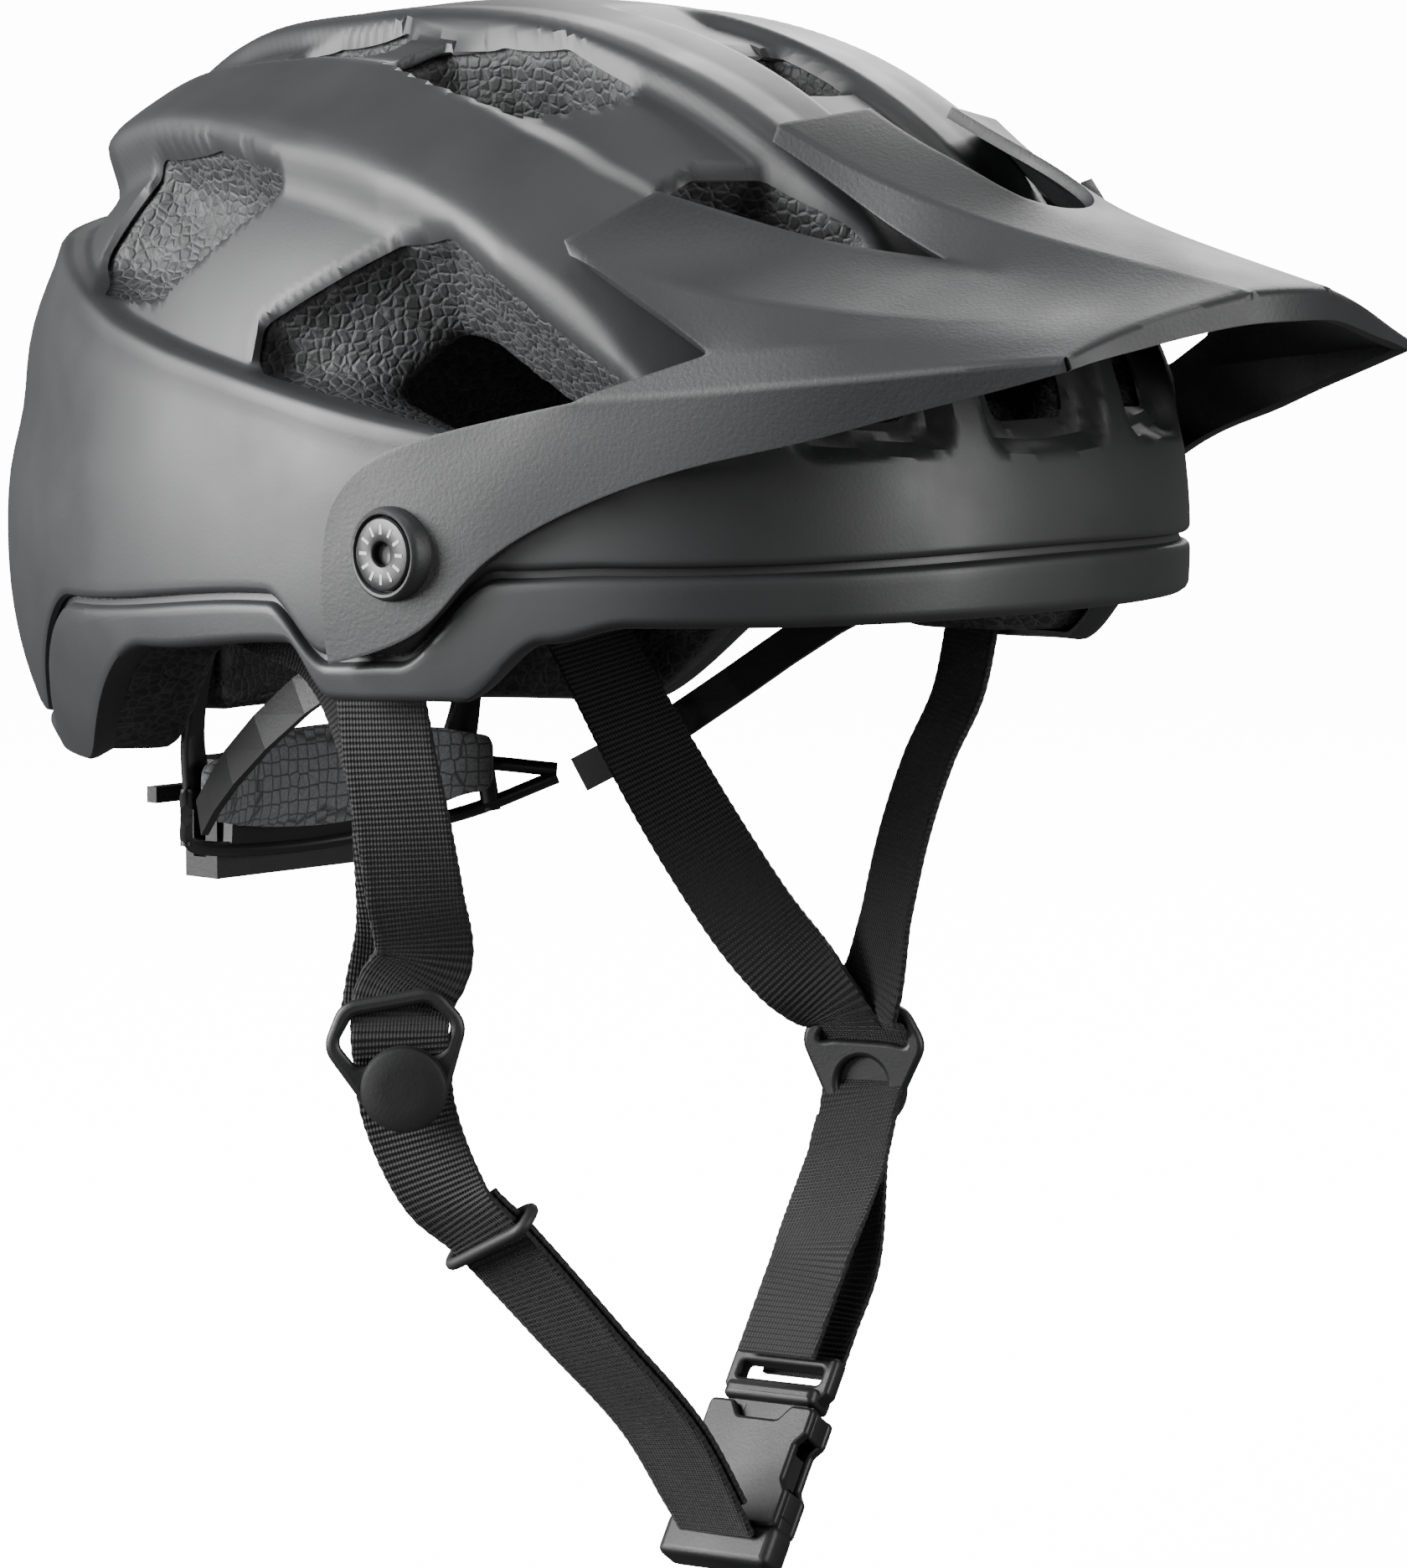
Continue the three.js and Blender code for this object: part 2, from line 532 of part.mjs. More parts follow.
// ---- pads inside the liner ----
const pad = (headings, lifts, thickness, columns = 4, rows = 2) =>
  patchSolid(CAVITY_FORM, headings, lifts, -thickness - PIECE_GAP - 0.1, -PIECE_GAP - 0.1, columns, rows);
addNode('brow_pad', pad([-44, 44], [-3, 14], 6, 12, 2), mesh());
addNode('crown_pad_front', pad([-14, 14], [38, 72], 6), mesh());
addNode('crown_pad_rear', pad([166, 194], [40, 74], 6), mesh());
addNode('crown_pad_right', pad([84, 112], [34, 62], 6), mesh());
addNode('crown_pad_left', pad([-112, -84], [34, 62], 6), mesh());

// ---- webbing and bands ----
// The place, run, width direction and face direction of a flat band at a part of its length.
function bandFrame(points, across, t) {
  const curve = new THREE.CatmullRomCurve3(points.map((p) => vec(...p)), false, 'centripetal');
  const along = curve.getTangent(t);
  const place = t * (across.length - 1);
  const k = Math.min(Math.floor(place), across.length - 2);
  const side = vec(...across[k]).lerp(vec(...across[k + 1]), place - k);
  side.addScaledVector(along, -side.dot(along)).normalize();
  return { spot: curve.getPoint(t), along, side, face: along.clone().cross(side).normalize() };
}

// A flat band through points; rise lifts it off the line, and from and to cut it short.
function bandSolid(points, across, width, thickness, { rise = 0, from = 0, to = 1 } = {}) {
  const steps = (points.length - 1) * 2;
  const rings = [];
  for (let i = 0; i <= steps; i++) {
    const { spot, side, face } = bandFrame(points, across, from + (to - from) * i / steps);
    rings.push([[1, 1], [-1, 1], [-1, -1], [1, -1]].map(([u, v]) => spot.clone()
      .addScaledVector(side, u * width / 2).addScaledVector(face, rise + v * thickness / 2)));
  }
  return loftSolid(rings);
}

// ---- dial retention: cradle, housing, dial, racks, side bands and pins ----
const CRADLE_LINE = [[-56, 63, -60], [-42, 77, -63], [-22, 85, -65], [0, 87.5, -66], [22, 85, -65], [42, 77, -63], [56, 63, -60]];
const HANGER_LINE = [[-40, 69, -12], [-41, 74, -30], [-41, 77, -46], [-38, 78.5, -60]];
const UP = [[0, 0, 1], [0, 0, 1]];

function cradleFrame() {
  let body = solidOf(bandSolid(CRADLE_LINE, UP, 18, 2.6));
  for (const side of [-1, 1]) {
    const line = HANGER_LINE.map(([x, y, z]) => [-side * x, y, z]);
    body = body.add(solidOf(bandSolid(line, [[1, -side * 0.3, 0], [1, -side * 0.3, 0]], 9, 2.4)));
  }
  return geometryOf(body);
}

function dialHousing() {
  let body = solidOf(boxBetween([-22, 90, DIAL_Z - 13], [22, 100, DIAL_Z + 13]));
  const reach = PINION_RADIUS + RACK_HEIGHT + 1;
  body = body.subtract(solidOf(boxBetween([-40, RACK_Y[0] - 0.4, DIAL_Z - reach], [40, RACK_Y[1] + 0.4, DIAL_Z + reach])));
  body = body.subtract(solidOf(cylinderAlong(vec(0, 95, DIAL_Z), vec(0, 104, DIAL_Z), 2.7, 20)));
  return geometryOf(body);
}

function dialKnob() {
  const knob = solidOf(cylinderAlong(vec(0, 100.4, DIAL_Z), vec(0, 109, DIAL_Z), DIAL_RADIUS, 40));
  const shaft = solidOf(cylinderAlong(vec(0, 96, DIAL_Z), vec(0, 101, DIAL_Z), 2.3, 20));
  const pinion = solidOf(cylinderAlong(vec(0, RACK_Y[0] + 0.2, DIAL_Z), vec(0, RACK_Y[1] - 0.2, DIAL_Z), PINION_RADIUS, 20));
  return geometryOf(knob.add(shaft).add(pinion));
}

function rack(side) {
  const near = side * (PINION_RADIUS + 0.4);
  const far = near + side * RACK_HEIGHT;
  const zs = [DIAL_Z + near, DIAL_Z + far].sort((a, b) => a - b);
  const xs = [side * -36, side * 11].sort((a, b) => a - b);
  return boxBetween([xs[0], RACK_Y[0], zs[0]], [xs[1], RACK_Y[1], zs[1]]);
}

addNode('cradle_frame', cradleFrame(), blackPlastic());
addNode('dial_housing', dialHousing(), blackPlastic());
addNode('dial_knob', dialKnob(), blackPlastic());
addNode('rack_right', rack(1), blackPlastic());
addNode('rack_left', rack(-1), blackPlastic());
const PAD_LINE = [[-44, 69, -57], [-24, 77.5, -57], [0, 80.5, -57], [24, 77.5, -57], [44, 69, -57]];
addNode('cradle_pad', bandSolid(PAD_LINE, UP, 24, 6), mesh());
const BAND_LINE = [[-57, 57, -60], [-68, 36, -47], [-73, 10, -30], [-72.5, -18, -16], [-68.5, -50, -8], [-67.5, -55, -7.5]];
for (const [side, word] of [[-1, 'right'], [1, 'left']]) {
  const line = BAND_LINE.map(([x, y, z]) => [-side * x, y, z]);
  const band = solidOf(bandSolid(line, UP, 8, 1.6));
  const hole = cylinderAlong(vec(side * 60, ...TEMPLE_PIN), vec(side * 90, ...TEMPLE_PIN), PIN_RADIUS + PIECE_GAP);
  addNode(`side_band_${word}`, geometryOf(band.subtract(solidOf(hole))), blackPlastic());
  const shank = solidOf(cylinderAlong(vec(side * 66, ...TEMPLE_PIN), vec(side * 84, ...TEMPLE_PIN), PIN_RADIUS, 20));
  const head = solidOf(cylinderAlong(vec(side * 64.9, ...TEMPLE_PIN), vec(side * 66.3, ...TEMPLE_PIN), 4.5, 20));
  addNode(`temple_pin_${word}`, geometryOf(shank.add(head)), blackPlastic());
}

// ---- strap anchors and straps ----
const EAR_BLOCK = [[82, 94], [-44, -17], [-22, -9]];
for (const [side, word] of [[-1, 'right'], [1, 'left']]) {
  addNode(`ear_anchor_${word}`, sideBox(side, EAR_BLOCK, PIECE_GAP), blackPlastic());
  addNode(`rear_anchor_${word}`, sideBox(side, REAR_SLOT, PIECE_GAP), blackPlastic());
}

const FRONT_RIGHT = [
  [-89, -29, -24], [-85.4, -28.4, -39], [-80.3, -27, -54], [-74.3, -23.9, -68], [-67.9, -19.8, -82], [-69.8, -16, -95],
];
const REAR_RIGHT = [
  [-58, 60, -8], [-68, 45, -9], [-75, 20, -12], [-75.5, 2, -17], [-76, -11, -30], [-75.5, -19, -46],
  [-72.6, -18.4, -62], [-69.7, -16.3, -76], [-69.3, -12.8, -88], [-69.2, -12.4, -95],
];
const LOWER_RIGHT = [
  [-69.8, -15.2, -99], [-68.2, -15.6, -113], [-62, -20, -131], [-54, -25.5, -141], [-36, -33.5, -163],
  [-18, -38, -183], [-6, -38.6, -200], [-1.2, -38.6, -207],
];
const FRONT_LEFT = [
  [88, -31, -23], [85, -29.5, -38], [79.5, -26, -52], [74.5, -23.5, -68], [70.8, -21.5, -86], [69, -19.5, -101],
  [68.2, -17, -110],
];
const REAR_LEFT = [
  [54, 57.5, -8], [52.5, 53.5, -22], [51.6, 40.2, -40], [51.6, 27, -57], [54, 14, -75], [57.5, 3, -90],
  [62, -6.5, -104], [63.5, -12, -110],
];
const LOWER_LEFT = [[68, -15.5, -114.5], [67.3, -17, -126], [57, -23, -140], [48, -28.5, -147]];
const ALONG_EAR = [[0.3, -1, 0], [0.7, -0.72, 0], [0.7, -0.72, 0]];
const RIGHT_REAR_ACROSS = [[0, -0.2, -1], [0, -0.1, -1], [0, 0.7, -0.75], [-0.4, 0.9, 0], [-0.65, 0.75, 0], [-0.7, 0.72, 0]];
const LEFT_FRONT_ACROSS = [[-0.3, -1, 0], [-0.3, -1, 0.1], [0.3, -0.95, 0]];
const LEFT_REAR_ACROSS = [[-1, 0.3, 0], [-0.7, 0.8, 0.2], [-0.5, 1, 0.3], [-0.3, 0.95, 0]];
const CHIN_ACROSS = [[0.7, -0.72, 0], [0.3, -0.95, 0.05], [0.15, -1, 0.1], [0.1, -1, 0]];
const FORK_ACROSS = [[0.3, -0.95, 0], [0, -1, 0], [0.1, -1, 0]];
const strap = (name, line, across, span) =>
  addNode(name, bandSolid(line, across, WEB_WIDTH, WEB_THICKNESS, span), webbing());
strap('strap_right_front', FRONT_RIGHT, ALONG_EAR);
strap('strap_right_rear', REAR_RIGHT, RIGHT_REAR_ACROSS);
strap('strap_right_lower', LOWER_RIGHT, CHIN_ACROSS);
strap('strap_right_tail', LOWER_RIGHT, CHIN_ACROSS, { rise: TAIL_RISE, from: 0.34, to: 0.88 });
strap('strap_left_front', FRONT_LEFT, LEFT_FRONT_ACROSS);
strap('strap_left_rear', REAR_LEFT, LEFT_REAR_ACROSS);

// The left lower strap forks into the two layers that hold the buckle's sliding half.
function forkedStrap() {
  const spot = (along, face) => BUCKLE_FOOT.map((value, i) => value + along * BUCKLE_AXIS[i] + face * BUCKLE_FACE[i]);
  let body = solidOf(bandSolid(LOWER_LEFT, FORK_ACROSS, WEB_WIDTH, WEB_THICKNESS));
  for (const face of [-FORK_SPREAD, FORK_SPREAD]) {
    const line = [LOWER_LEFT[2], LOWER_LEFT[3], spot(63, face), spot(50, face), spot(38, face)];
    body = body.add(solidOf(bandSolid(line, [[0.1, -1, 0], BUCKLE_ACROSS], WEB_WIDTH, WEB_THICKNESS)));
  }
  return geometryOf(body);
}

addNode('strap_left_lower', forkedStrap(), webbing());

// ---- strap dividers and keeper ----
function placed(geometry, origin, right, up) {
  const x = vec(...right).normalize();
  const y = vec(...up).addScaledVector(x, -vec(...up).dot(x)).normalize();
  const z = x.clone().cross(y);
  return geometry.applyMatrix4(new THREE.Matrix4().makeBasis(x, y, z).setPosition(...origin));
}

function dividerFrame() {
  const outline = new THREE.Shape([
    [-15, 8], [-11, 14], [11, 14], [15, 8], [10, -10], [5, -16], [-5, -16], [-10, -10],
  ].map(([x, y]) => new THREE.Vector2(x, y)));
  outline.holes.push(new THREE.Path([[-11, 10], [-11.5, 3], [11.5, 3], [11, 10]].map(([x, y]) => new THREE.Vector2(x, y))));
  return new THREE.ExtrudeGeometry(outline, { depth: 2.4, bevelEnabled: false }).translate(0, 0, -1.2);
}

function dividerDisc() {
  return cylinderAlong(vec(0, -6, 1.5), vec(0, -6, 5.5), 9, 28);
}

// A ring around both layers of the right lower strap.
function keeperRing() {
  const outer = solidOf(boxBetween([-12.8, -2, -4.4], [12.8, 2, 4.4]));
  return geometryOf(outer.subtract(solidOf(boxBetween([-11.4, -3, -3], [11.4, 3, 3]))));
}

const keeperSpot = bandFrame(LOWER_RIGHT, CHIN_ACROSS, KEEPER_PLACE);
const keeperOrigin = keeperSpot.spot.addScaledVector(keeperSpot.face, TAIL_RISE / 2);
const keeper = placed(keeperRing(), keeperOrigin.toArray(), keeperSpot.side.toArray(), keeperSpot.along.toArray());
addNode('strap_keeper', keeper, blackPlastic());

const DIVIDERS = [
  ['right', [-72.5, -17.5, -102], [0.684, -0.708, 0.174], [-0.121, 0.125, 0.985]],
  ['left', [71.6, -14.5, -119], [-0.3, 0.954, 0], [0, 0, 1]],
];
for (const [word, origin, right, up] of DIVIDERS) {
  addNode(`divider_frame_${word}`, placed(dividerFrame(), origin, right, up), blackPlastic());
  addNode(`divider_disc_${word}`, placed(dividerDisc(), origin, right, up), blackPlastic());
}

// ---- side-release buckle: local x across, y along the pull, z through the thickness ----
const buckleBox = (xs, ys, zs) => solidOf(boxBetween([xs[0], ys[0], zs[0]], [xs[1], ys[1], zs[1]]));

function buckleFemale() {
  return buckleBox([-13.5, 13.5], [0, 27], [-4.5, 4.5])
    .add(buckleBox([-13, 13], [-8.5, 0.5], [-2.2, 2.2]))
    .subtract(buckleBox([-11, 11], [3, 30], [-2.8, 2.8]))
    .subtract(buckleBox([-16, 16], [9, 20], [-2.8, 2.8]))
    .subtract(buckleBox([-10.6, 10.6], [-5.5, -1.5], [-9, 9]));
}

function buckleMale() {
  return buckleBox([-11.5, 11.5], [MALE_START, 31.5], [-4, 4])
    .add(buckleBox([-13, 13], [31, 39.5], [-2.2, 2.2]))
    .add(buckleBox([-2, 2], [8, 28], [-2, 2]))
    .subtract(buckleBox([-10.6, 10.6], [33, 37], [-9, 9]));
}

function bucklePronged(side) {
  const ends = (near, far) => [side * near, side * far].sort((a, b) => a - b);
  return buckleBox(ends(5.5, 8.2), [7, MALE_START - 0.4], [-2.2, 2.2])
    .add(buckleBox(ends(6, 10.6), [10, 17], [-2.2, 2.2]));
}

const inBuckle = (solid) => placed(geometryOf(solid), BUCKLE_FOOT, BUCKLE_ACROSS, BUCKLE_AXIS);
addNode('buckle_female', inBuckle(buckleFemale()), blackPlastic());
addNode('buckle_male', inBuckle(buckleMale()), blackPlastic());
addNode('buckle_prong_front', inBuckle(bucklePronged(1)), blackPlastic());
addNode('buckle_prong_rear', inBuckle(bucklePronged(-1)), blackPlastic());

export default helmet;
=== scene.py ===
"""A cycling helmet's looks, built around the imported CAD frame: shells, visor, straps, buckle and cradle."""
import math

import bpy
import numpy as np
import openvdb
from mathutils import Matrix, Vector


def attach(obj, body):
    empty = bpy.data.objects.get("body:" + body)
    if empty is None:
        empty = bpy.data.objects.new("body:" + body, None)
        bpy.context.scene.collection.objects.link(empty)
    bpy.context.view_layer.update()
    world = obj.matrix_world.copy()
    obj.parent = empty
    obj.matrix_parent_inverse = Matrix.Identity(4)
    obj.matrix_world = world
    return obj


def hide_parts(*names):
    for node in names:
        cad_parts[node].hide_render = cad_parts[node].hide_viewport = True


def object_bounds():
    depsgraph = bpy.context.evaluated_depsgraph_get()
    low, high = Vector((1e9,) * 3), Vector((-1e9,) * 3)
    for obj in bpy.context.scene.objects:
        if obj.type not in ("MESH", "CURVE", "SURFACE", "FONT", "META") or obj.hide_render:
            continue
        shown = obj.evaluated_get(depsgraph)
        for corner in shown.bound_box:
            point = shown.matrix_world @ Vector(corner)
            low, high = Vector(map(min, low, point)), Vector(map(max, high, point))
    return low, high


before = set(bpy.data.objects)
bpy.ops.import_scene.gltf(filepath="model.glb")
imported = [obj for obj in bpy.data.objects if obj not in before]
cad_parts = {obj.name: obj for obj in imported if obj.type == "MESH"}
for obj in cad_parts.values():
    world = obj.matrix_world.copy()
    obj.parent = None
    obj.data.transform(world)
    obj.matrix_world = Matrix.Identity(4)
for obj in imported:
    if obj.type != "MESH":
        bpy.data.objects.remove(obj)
CAD_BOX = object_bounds()
MM = 0.001

# ---- the helmet's form, in millimetres: the CAD part's form, with the panel's edge and vents drawn finer ----
HALF_WIDTH, FRONT, REAR, CROWN, DEPTH = 105.0, 131.0, 127.0, 111.0, 95.0
PLAN_POWER, SIDE_POWER, LEAN = 2.3, 2.23, 10.0
CAVITY = dict(width=79.0, front=99.0, rear=94.0, crown=86.0, depth=260.0)
SHELL = dict(width=HALF_WIDTH, front=FRONT, rear=REAR, crown=CROWN, depth=DEPTH)
SKIN = 1.1            # thickness of the polycarbonate skins
FOAM_BACK = 2.4       # foam surface behind the outside of the skin
SCREW_Y, SCREW_Z = -47.5, 3.8
SCREW_START = 100.9    # where the visor screw's head begins, across the helmet
RIM = [(0, -7.5), (42, -8), (50, -11.5), (59, -24), (75, -25), (80.5, -14), (104, -17.5), (127, -45),
       (180, -44)]
GROOVE = [(0, 3), (44, 1), (54.5, 0), (66, -17.5), (75, -18.5), (83, -7), (118, -11.5), (136, -39),
          (180, -37)]
PANEL_TOP = [(0, 15), (50, 24), (70, 30), (87, 36), (101, 41), (113, 46), (125, 53), (140, 61),
             (160, 65), (180, 66)]


def smooth(low, high, value):
    t = np.clip((value - low) / (high - low), 0, 1)
    return t * t * (3 - 2 * t)


def off_front(heading):
    """Degrees either side of the front."""
    return np.abs((np.degrees(heading) + 540) % 360 - 180)


def half_turn(angle):
    """The same angle between minus and plus half a turn."""
    return (angle + math.pi) % (2 * math.pi) - math.pi


def curve_value(knots, heading):
    """A height by heading: smooth steps between knots given in degrees either side of the front."""
    turn = off_front(heading)
    result = np.full_like(turn, knots[-1][1], dtype=float)
    for (h0, z0), (h1, z1) in reversed(list(zip(knots, knots[1:]))):
        result = np.where(turn <= h1, z0 + (z1 - z0) * smooth(h0, h1, turn), result)
    return result


def along_line(knots, value):
    return np.interp(value, [k[0] for k in knots], [k[1] for k in knots])


def plan_radius(form, heading):
    across = np.abs(np.sin(heading)) / form["width"]
    along = np.abs(np.cos(heading)) / np.where(np.cos(heading) > 0, form["front"], form["rear"])
    return (across ** PLAN_POWER + along ** PLAN_POWER) ** (-1 / PLAN_POWER)


def form_point(form, heading, lift):
    cosine, sine = np.cos(lift), np.abs(np.sin(lift))
    scale = (np.abs(cosine) ** SIDE_POWER + sine ** SIDE_POWER) ** (-1 / SIDE_POWER)
    z = np.sign(lift) * np.where(lift < 0, form["depth"], form["crown"]) * sine * scale
    radius = plan_radius(form, heading) * cosine * scale
    lean = np.where(z > 0, LEAN * (z / form["crown"]) ** 2, 0)
    return np.stack([-np.sin(heading) * radius, -np.cos(heading) * radius + lean, z], -1)


def form_normal(form, heading, lift):
    step = 0.01
    low = np.minimum(lift, math.pi / 2 - 2 * step)
    sideways = form_point(form, heading + step, low) - form_point(form, heading - step, low)
    upward = form_point(form, heading, low + step) - form_point(form, heading, low - step)
    n = np.cross(upward, sideways)
    return n / np.linalg.norm(n, axis=-1, keepdims=True)


def lift_of_height(form, z):
    part = np.minimum(np.abs(z) / np.where(z < 0, form["depth"], form["crown"]), 0.999) ** SIDE_POWER
    return np.sign(z) * np.arctan((part / (1 - part)) ** (1 / SIDE_POWER))


# ---- ribs, valleys and steps of the upper shell, as an outward offset of the form ----
RIB_LOW = [(-110, 74), (-84, 80), (-56, 84), (-22, 83), (12, 79.5), (48, 70.5), (73, 64), (110, 46)]
RIB_CREASE = [(-110, 69), (-87, 77), (-63, 80), (-37, 80), (-9, 77), (23, 71.5), (44, 67), (70, 60),
              (110, 42)]
RIB_TOP = [(-110, 52), (-89, 57), (-64, 62.5), (-44, 63), (-20, 60), (3, 54), (25, 51), (50, 49), (80, 43),
           (110, 30)]
INNER_CREASE = [(-120, 25), (-81, 29), (-50, 31), (47, 30), (80, 26), (110, 16)]
INNER_FOOT = [(-120, 32), (-81, 36), (-50, 38), (47, 37), (80, 32), (110, 22)]
SCOOPS = [[(9.5, 26), (-9.5, 26), (-7.5, 12), (7.5, 12)], [(30, 26), (11.5, 26), (12, 12.5), (27, 11.5)]]
SCOOP_CORNER, SCOOP_DEPTH = 4.5, 4.2
VALLEY_DEPTH, TAIL_RAISE, DIP_DEPTH = 4.5, 3.4, 1.8


def panel_top(heading):
    """Height of the side panel's upper edge, by heading."""
    return along_line(PANEL_TOP, off_front(heading))


def relief(heading, lift):
    """Outward offset of the shell's surface from its plain form."""
    p = form_point(SHELL, heading, lift)
    x, y, z = np.abs(p[..., 0]), p[..., 1], p[..., 2]
    edge = panel_top(heading)
    aside = smooth(-112, -88, y)
    above_brow = smooth(34, 54, z)
    valley = smooth(edge - 0.6, edge + 2.8, z) * aside
    low = along_line(RIB_LOW, y)
    outer_rib = smooth(low + 3.2, low - 2.8, x) * smooth(edge + 5, edge + 12, z)
    top = along_line(RIB_TOP, y)
    foot = along_line(INNER_FOOT, y)
    between = smooth(top + 2.5, top - 5, x) * smooth(foot - 3.5, foot + 1, x) * smooth(84, 64, y) * above_brow
    ridge = np.clip(1 - np.abs(x - along_line(RIB_CREASE, y)) / 13, 0, 1) * outer_rib
    inner_ridge = np.clip(1 - np.abs(x - along_line(INNER_CREASE, y)) / 8, 0, 1) * above_brow
    centre = smooth(12.5, 8.5, x) * smooth(-14, -30, y) * above_brow
    tail = TAIL_RAISE * smooth(30, 75, y) * smooth(55, 80, z) * outer_rib
    lip = np.exp(-((z - edge + 2.5) / 2.6) ** 2) * aside
    dip = -DIP_DEPTH * np.exp(-((z - 26) / 11) ** 2) * smooth(20, 80, y)
    total = -VALLEY_DEPTH * valley * (1 - outer_rib) - 3.4 * between + 1.7 * ridge + 1.2 * inner_ridge
    total = total - 3.2 * centre + tail + 0.8 * lip + dip
    return total - scoop_depth(heading, lift, y)


def scoop_depth(heading, lift, y):
    """The hollows round the forehead vents."""
    depth = np.zeros(np.shape(heading))
    near = (y < -88) & (lift < 0.6) & (lift > 0.05)
    fold = np.abs(half_turn(heading[near]))
    inside = np.full(fold.shape, 1e3)
    for outline in SCOOPS:
        inside = np.minimum(inside, rounded_distance(fold, lift[near], outline, SCOOP_CORNER))
    depth[near] = SCOOP_DEPTH * smooth(0.8, -3.2, inside)
    return depth


# ---- vents: outline in degrees of heading and lift, the smaller inner outline, and a corner radius ----
def shrunk(outline, share, shift=(0, 0)):
    middle = np.mean(outline, 0)
    return [tuple(middle + (np.array(p) - middle) * share + np.array(shift)) for p in outline]


REAR_SIDE = [(128, 44), (111, 45.5), (91, 42.5), (109, 27.5), (121, 27), (129, 31.5)]
SIDE = [(69, 35), (61, 35), (38, 16), (58, 14), (72, 17), (89, 20), (89, 25)]
TEMPLE = [(36, 40.5), (31, 43.5), (22, 43.5), (15, 34), (20, 29), (33, 31)]
TOP_FRONT = [(89, 61), (80, 67.5), (60, 68), (43, 65), (32, 57), (40, 54.5), (54, 52), (73, 57)]
TOP_REAR = [(134, 63), (126, 67), (100, 70.5), (97, 66), (125, 60.5)]
BROW_SIDE = [(27, 22), (15, 22), (15, 16), (25, 15.5)]
BACK_SIDE = [(156, 36), (140, 37), (141, 50), (156, 51)]
TOP_MIDDLE = [(10, 66), (-10, 66), (-7, 56), (7, 56)]
BROW_MIDDLE = [(6, 22), (-6, 22), (-5, 15.5), (5, 15.5)]
BACK_MIDDLE = [(192, 60), (168, 60), (172, 50), (188, 50)]
VENTS = [
    (REAR_SIDE, [(105, 38), (95, 38.5), (94, 33), (101, 31)], 3.5),
    (SIDE, [(72, 22), (63, 30), (58, 29), (42, 17.5), (57, 15)], 4),
    (TEMPLE, shrunk(TEMPLE, 0.62, (1, -2)), 3.2),
    (TOP_FRONT, [(73, 59), (59, 65), (47, 64), (37, 57), (54, 54)], 3.2),
    (TOP_REAR, shrunk(TOP_REAR, 0.6, (0, -1)), 2.4),
    (BROW_SIDE, shrunk(BROW_SIDE, 0.8), 2.5),
    (BACK_SIDE, shrunk(BACK_SIDE, 0.7), 4),
    (TOP_MIDDLE, shrunk(TOP_MIDDLE, 0.7), 3),
    (BROW_MIDDLE, shrunk(BROW_MIDDLE, 0.8), 2.5),
    (BACK_MIDDLE, shrunk(BACK_MIDDLE, 0.75), 4),
]
TAPER_DEPTHS = (1, 24)    # depths over which an opening narrows to its inner outline
INNER_CORNER = 0.6        # corner radius of the inner outline, as a share of the outer one
ARC_RADIUS = 112.0        # millimetres of surface per radian of heading and lift, nearly the same all over


def flat_place(heading, lift, middle):
    """Heading and lift laid flat in millimetres round a vent's middle heading."""
    return half_turn(heading - middle) * np.cos(lift) * ARC_RADIUS, lift * ARC_RADIUS


def polygon_distance(u, v, corners):
    """Signed distance to a closed polygon, below zero inside it."""
    best = np.full(u.shape, 1e9)
    inside = np.zeros(u.shape, bool)
    for (u0, v0), (u1, v1) in zip(corners, corners[1:] + corners[:1]):
        du, dv = u1 - u0, v1 - v0
        t = np.clip(((u - u0) * du + (v - v0) * dv) / (du * du + dv * dv), 0, 1)
        best = np.minimum(best, (u - u0 - t * du) ** 2 + (v - v0 - t * dv) ** 2)
        crosses = ((v0 > v) != (v1 > v)) & (u < du * (v - v0) / (dv if dv else 1e-9) + u0)
        inside ^= crosses
    return np.where(inside, -1, 1) * np.sqrt(best)


def rounded_distance(heading, lift, outline, radius):
    middle = math.radians(np.mean([p[0] for p in outline]))
    u, v = flat_place(heading, lift, middle)
    corners = [flat_place(math.radians(h), math.radians(l), middle) for h, l in outline]
    corners = [(float(c), float(e)) for c, e in corners]
    centre = np.mean(corners, 0)
    pulled = []
    for k, corner in enumerate(corners):
        before, after = np.array(corners[k - 1]), np.array(corners[(k + 1) % len(corners)])
        a, b = before - corner, after - corner
        a, b = a / np.linalg.norm(a), b / np.linalg.norm(b)
        half = math.acos(np.clip(a @ b, -1, 1)) / 2
        toward = (a + b) / max(np.linalg.norm(a + b), 1e-6)
        if (centre - corner) @ toward < 0:
            toward = -toward
        pulled.append(tuple(np.array(corner) + toward * radius / max(math.sin(half), 0.35)))
    return polygon_distance(u, v, pulled) - radius


def vent_distance(heading, lift, depth=None):
    """Distance to the nearest vent opening; with a depth below the surface, the opening narrows."""
    fold = np.abs(half_turn(heading))
    best = np.full(np.shape(fold), 1e9)
    for outline, inner, radius in VENTS:
        d = rounded_distance(fold, lift, outline, radius)
        if depth is not None:
            deep = rounded_distance(fold, lift, inner, radius * INNER_CORNER)
            d = d + (deep - d) * smooth(*TAPER_DEPTHS, depth)
        best = np.minimum(best, d)
    return best


# ---- meshes ----
def add_object(name, mesh, materials=()):
    obj = bpy.data.objects.new(name, mesh)
    bpy.context.scene.collection.objects.link(obj)
    for material in materials:
        obj.data.materials.append(material)
    return obj


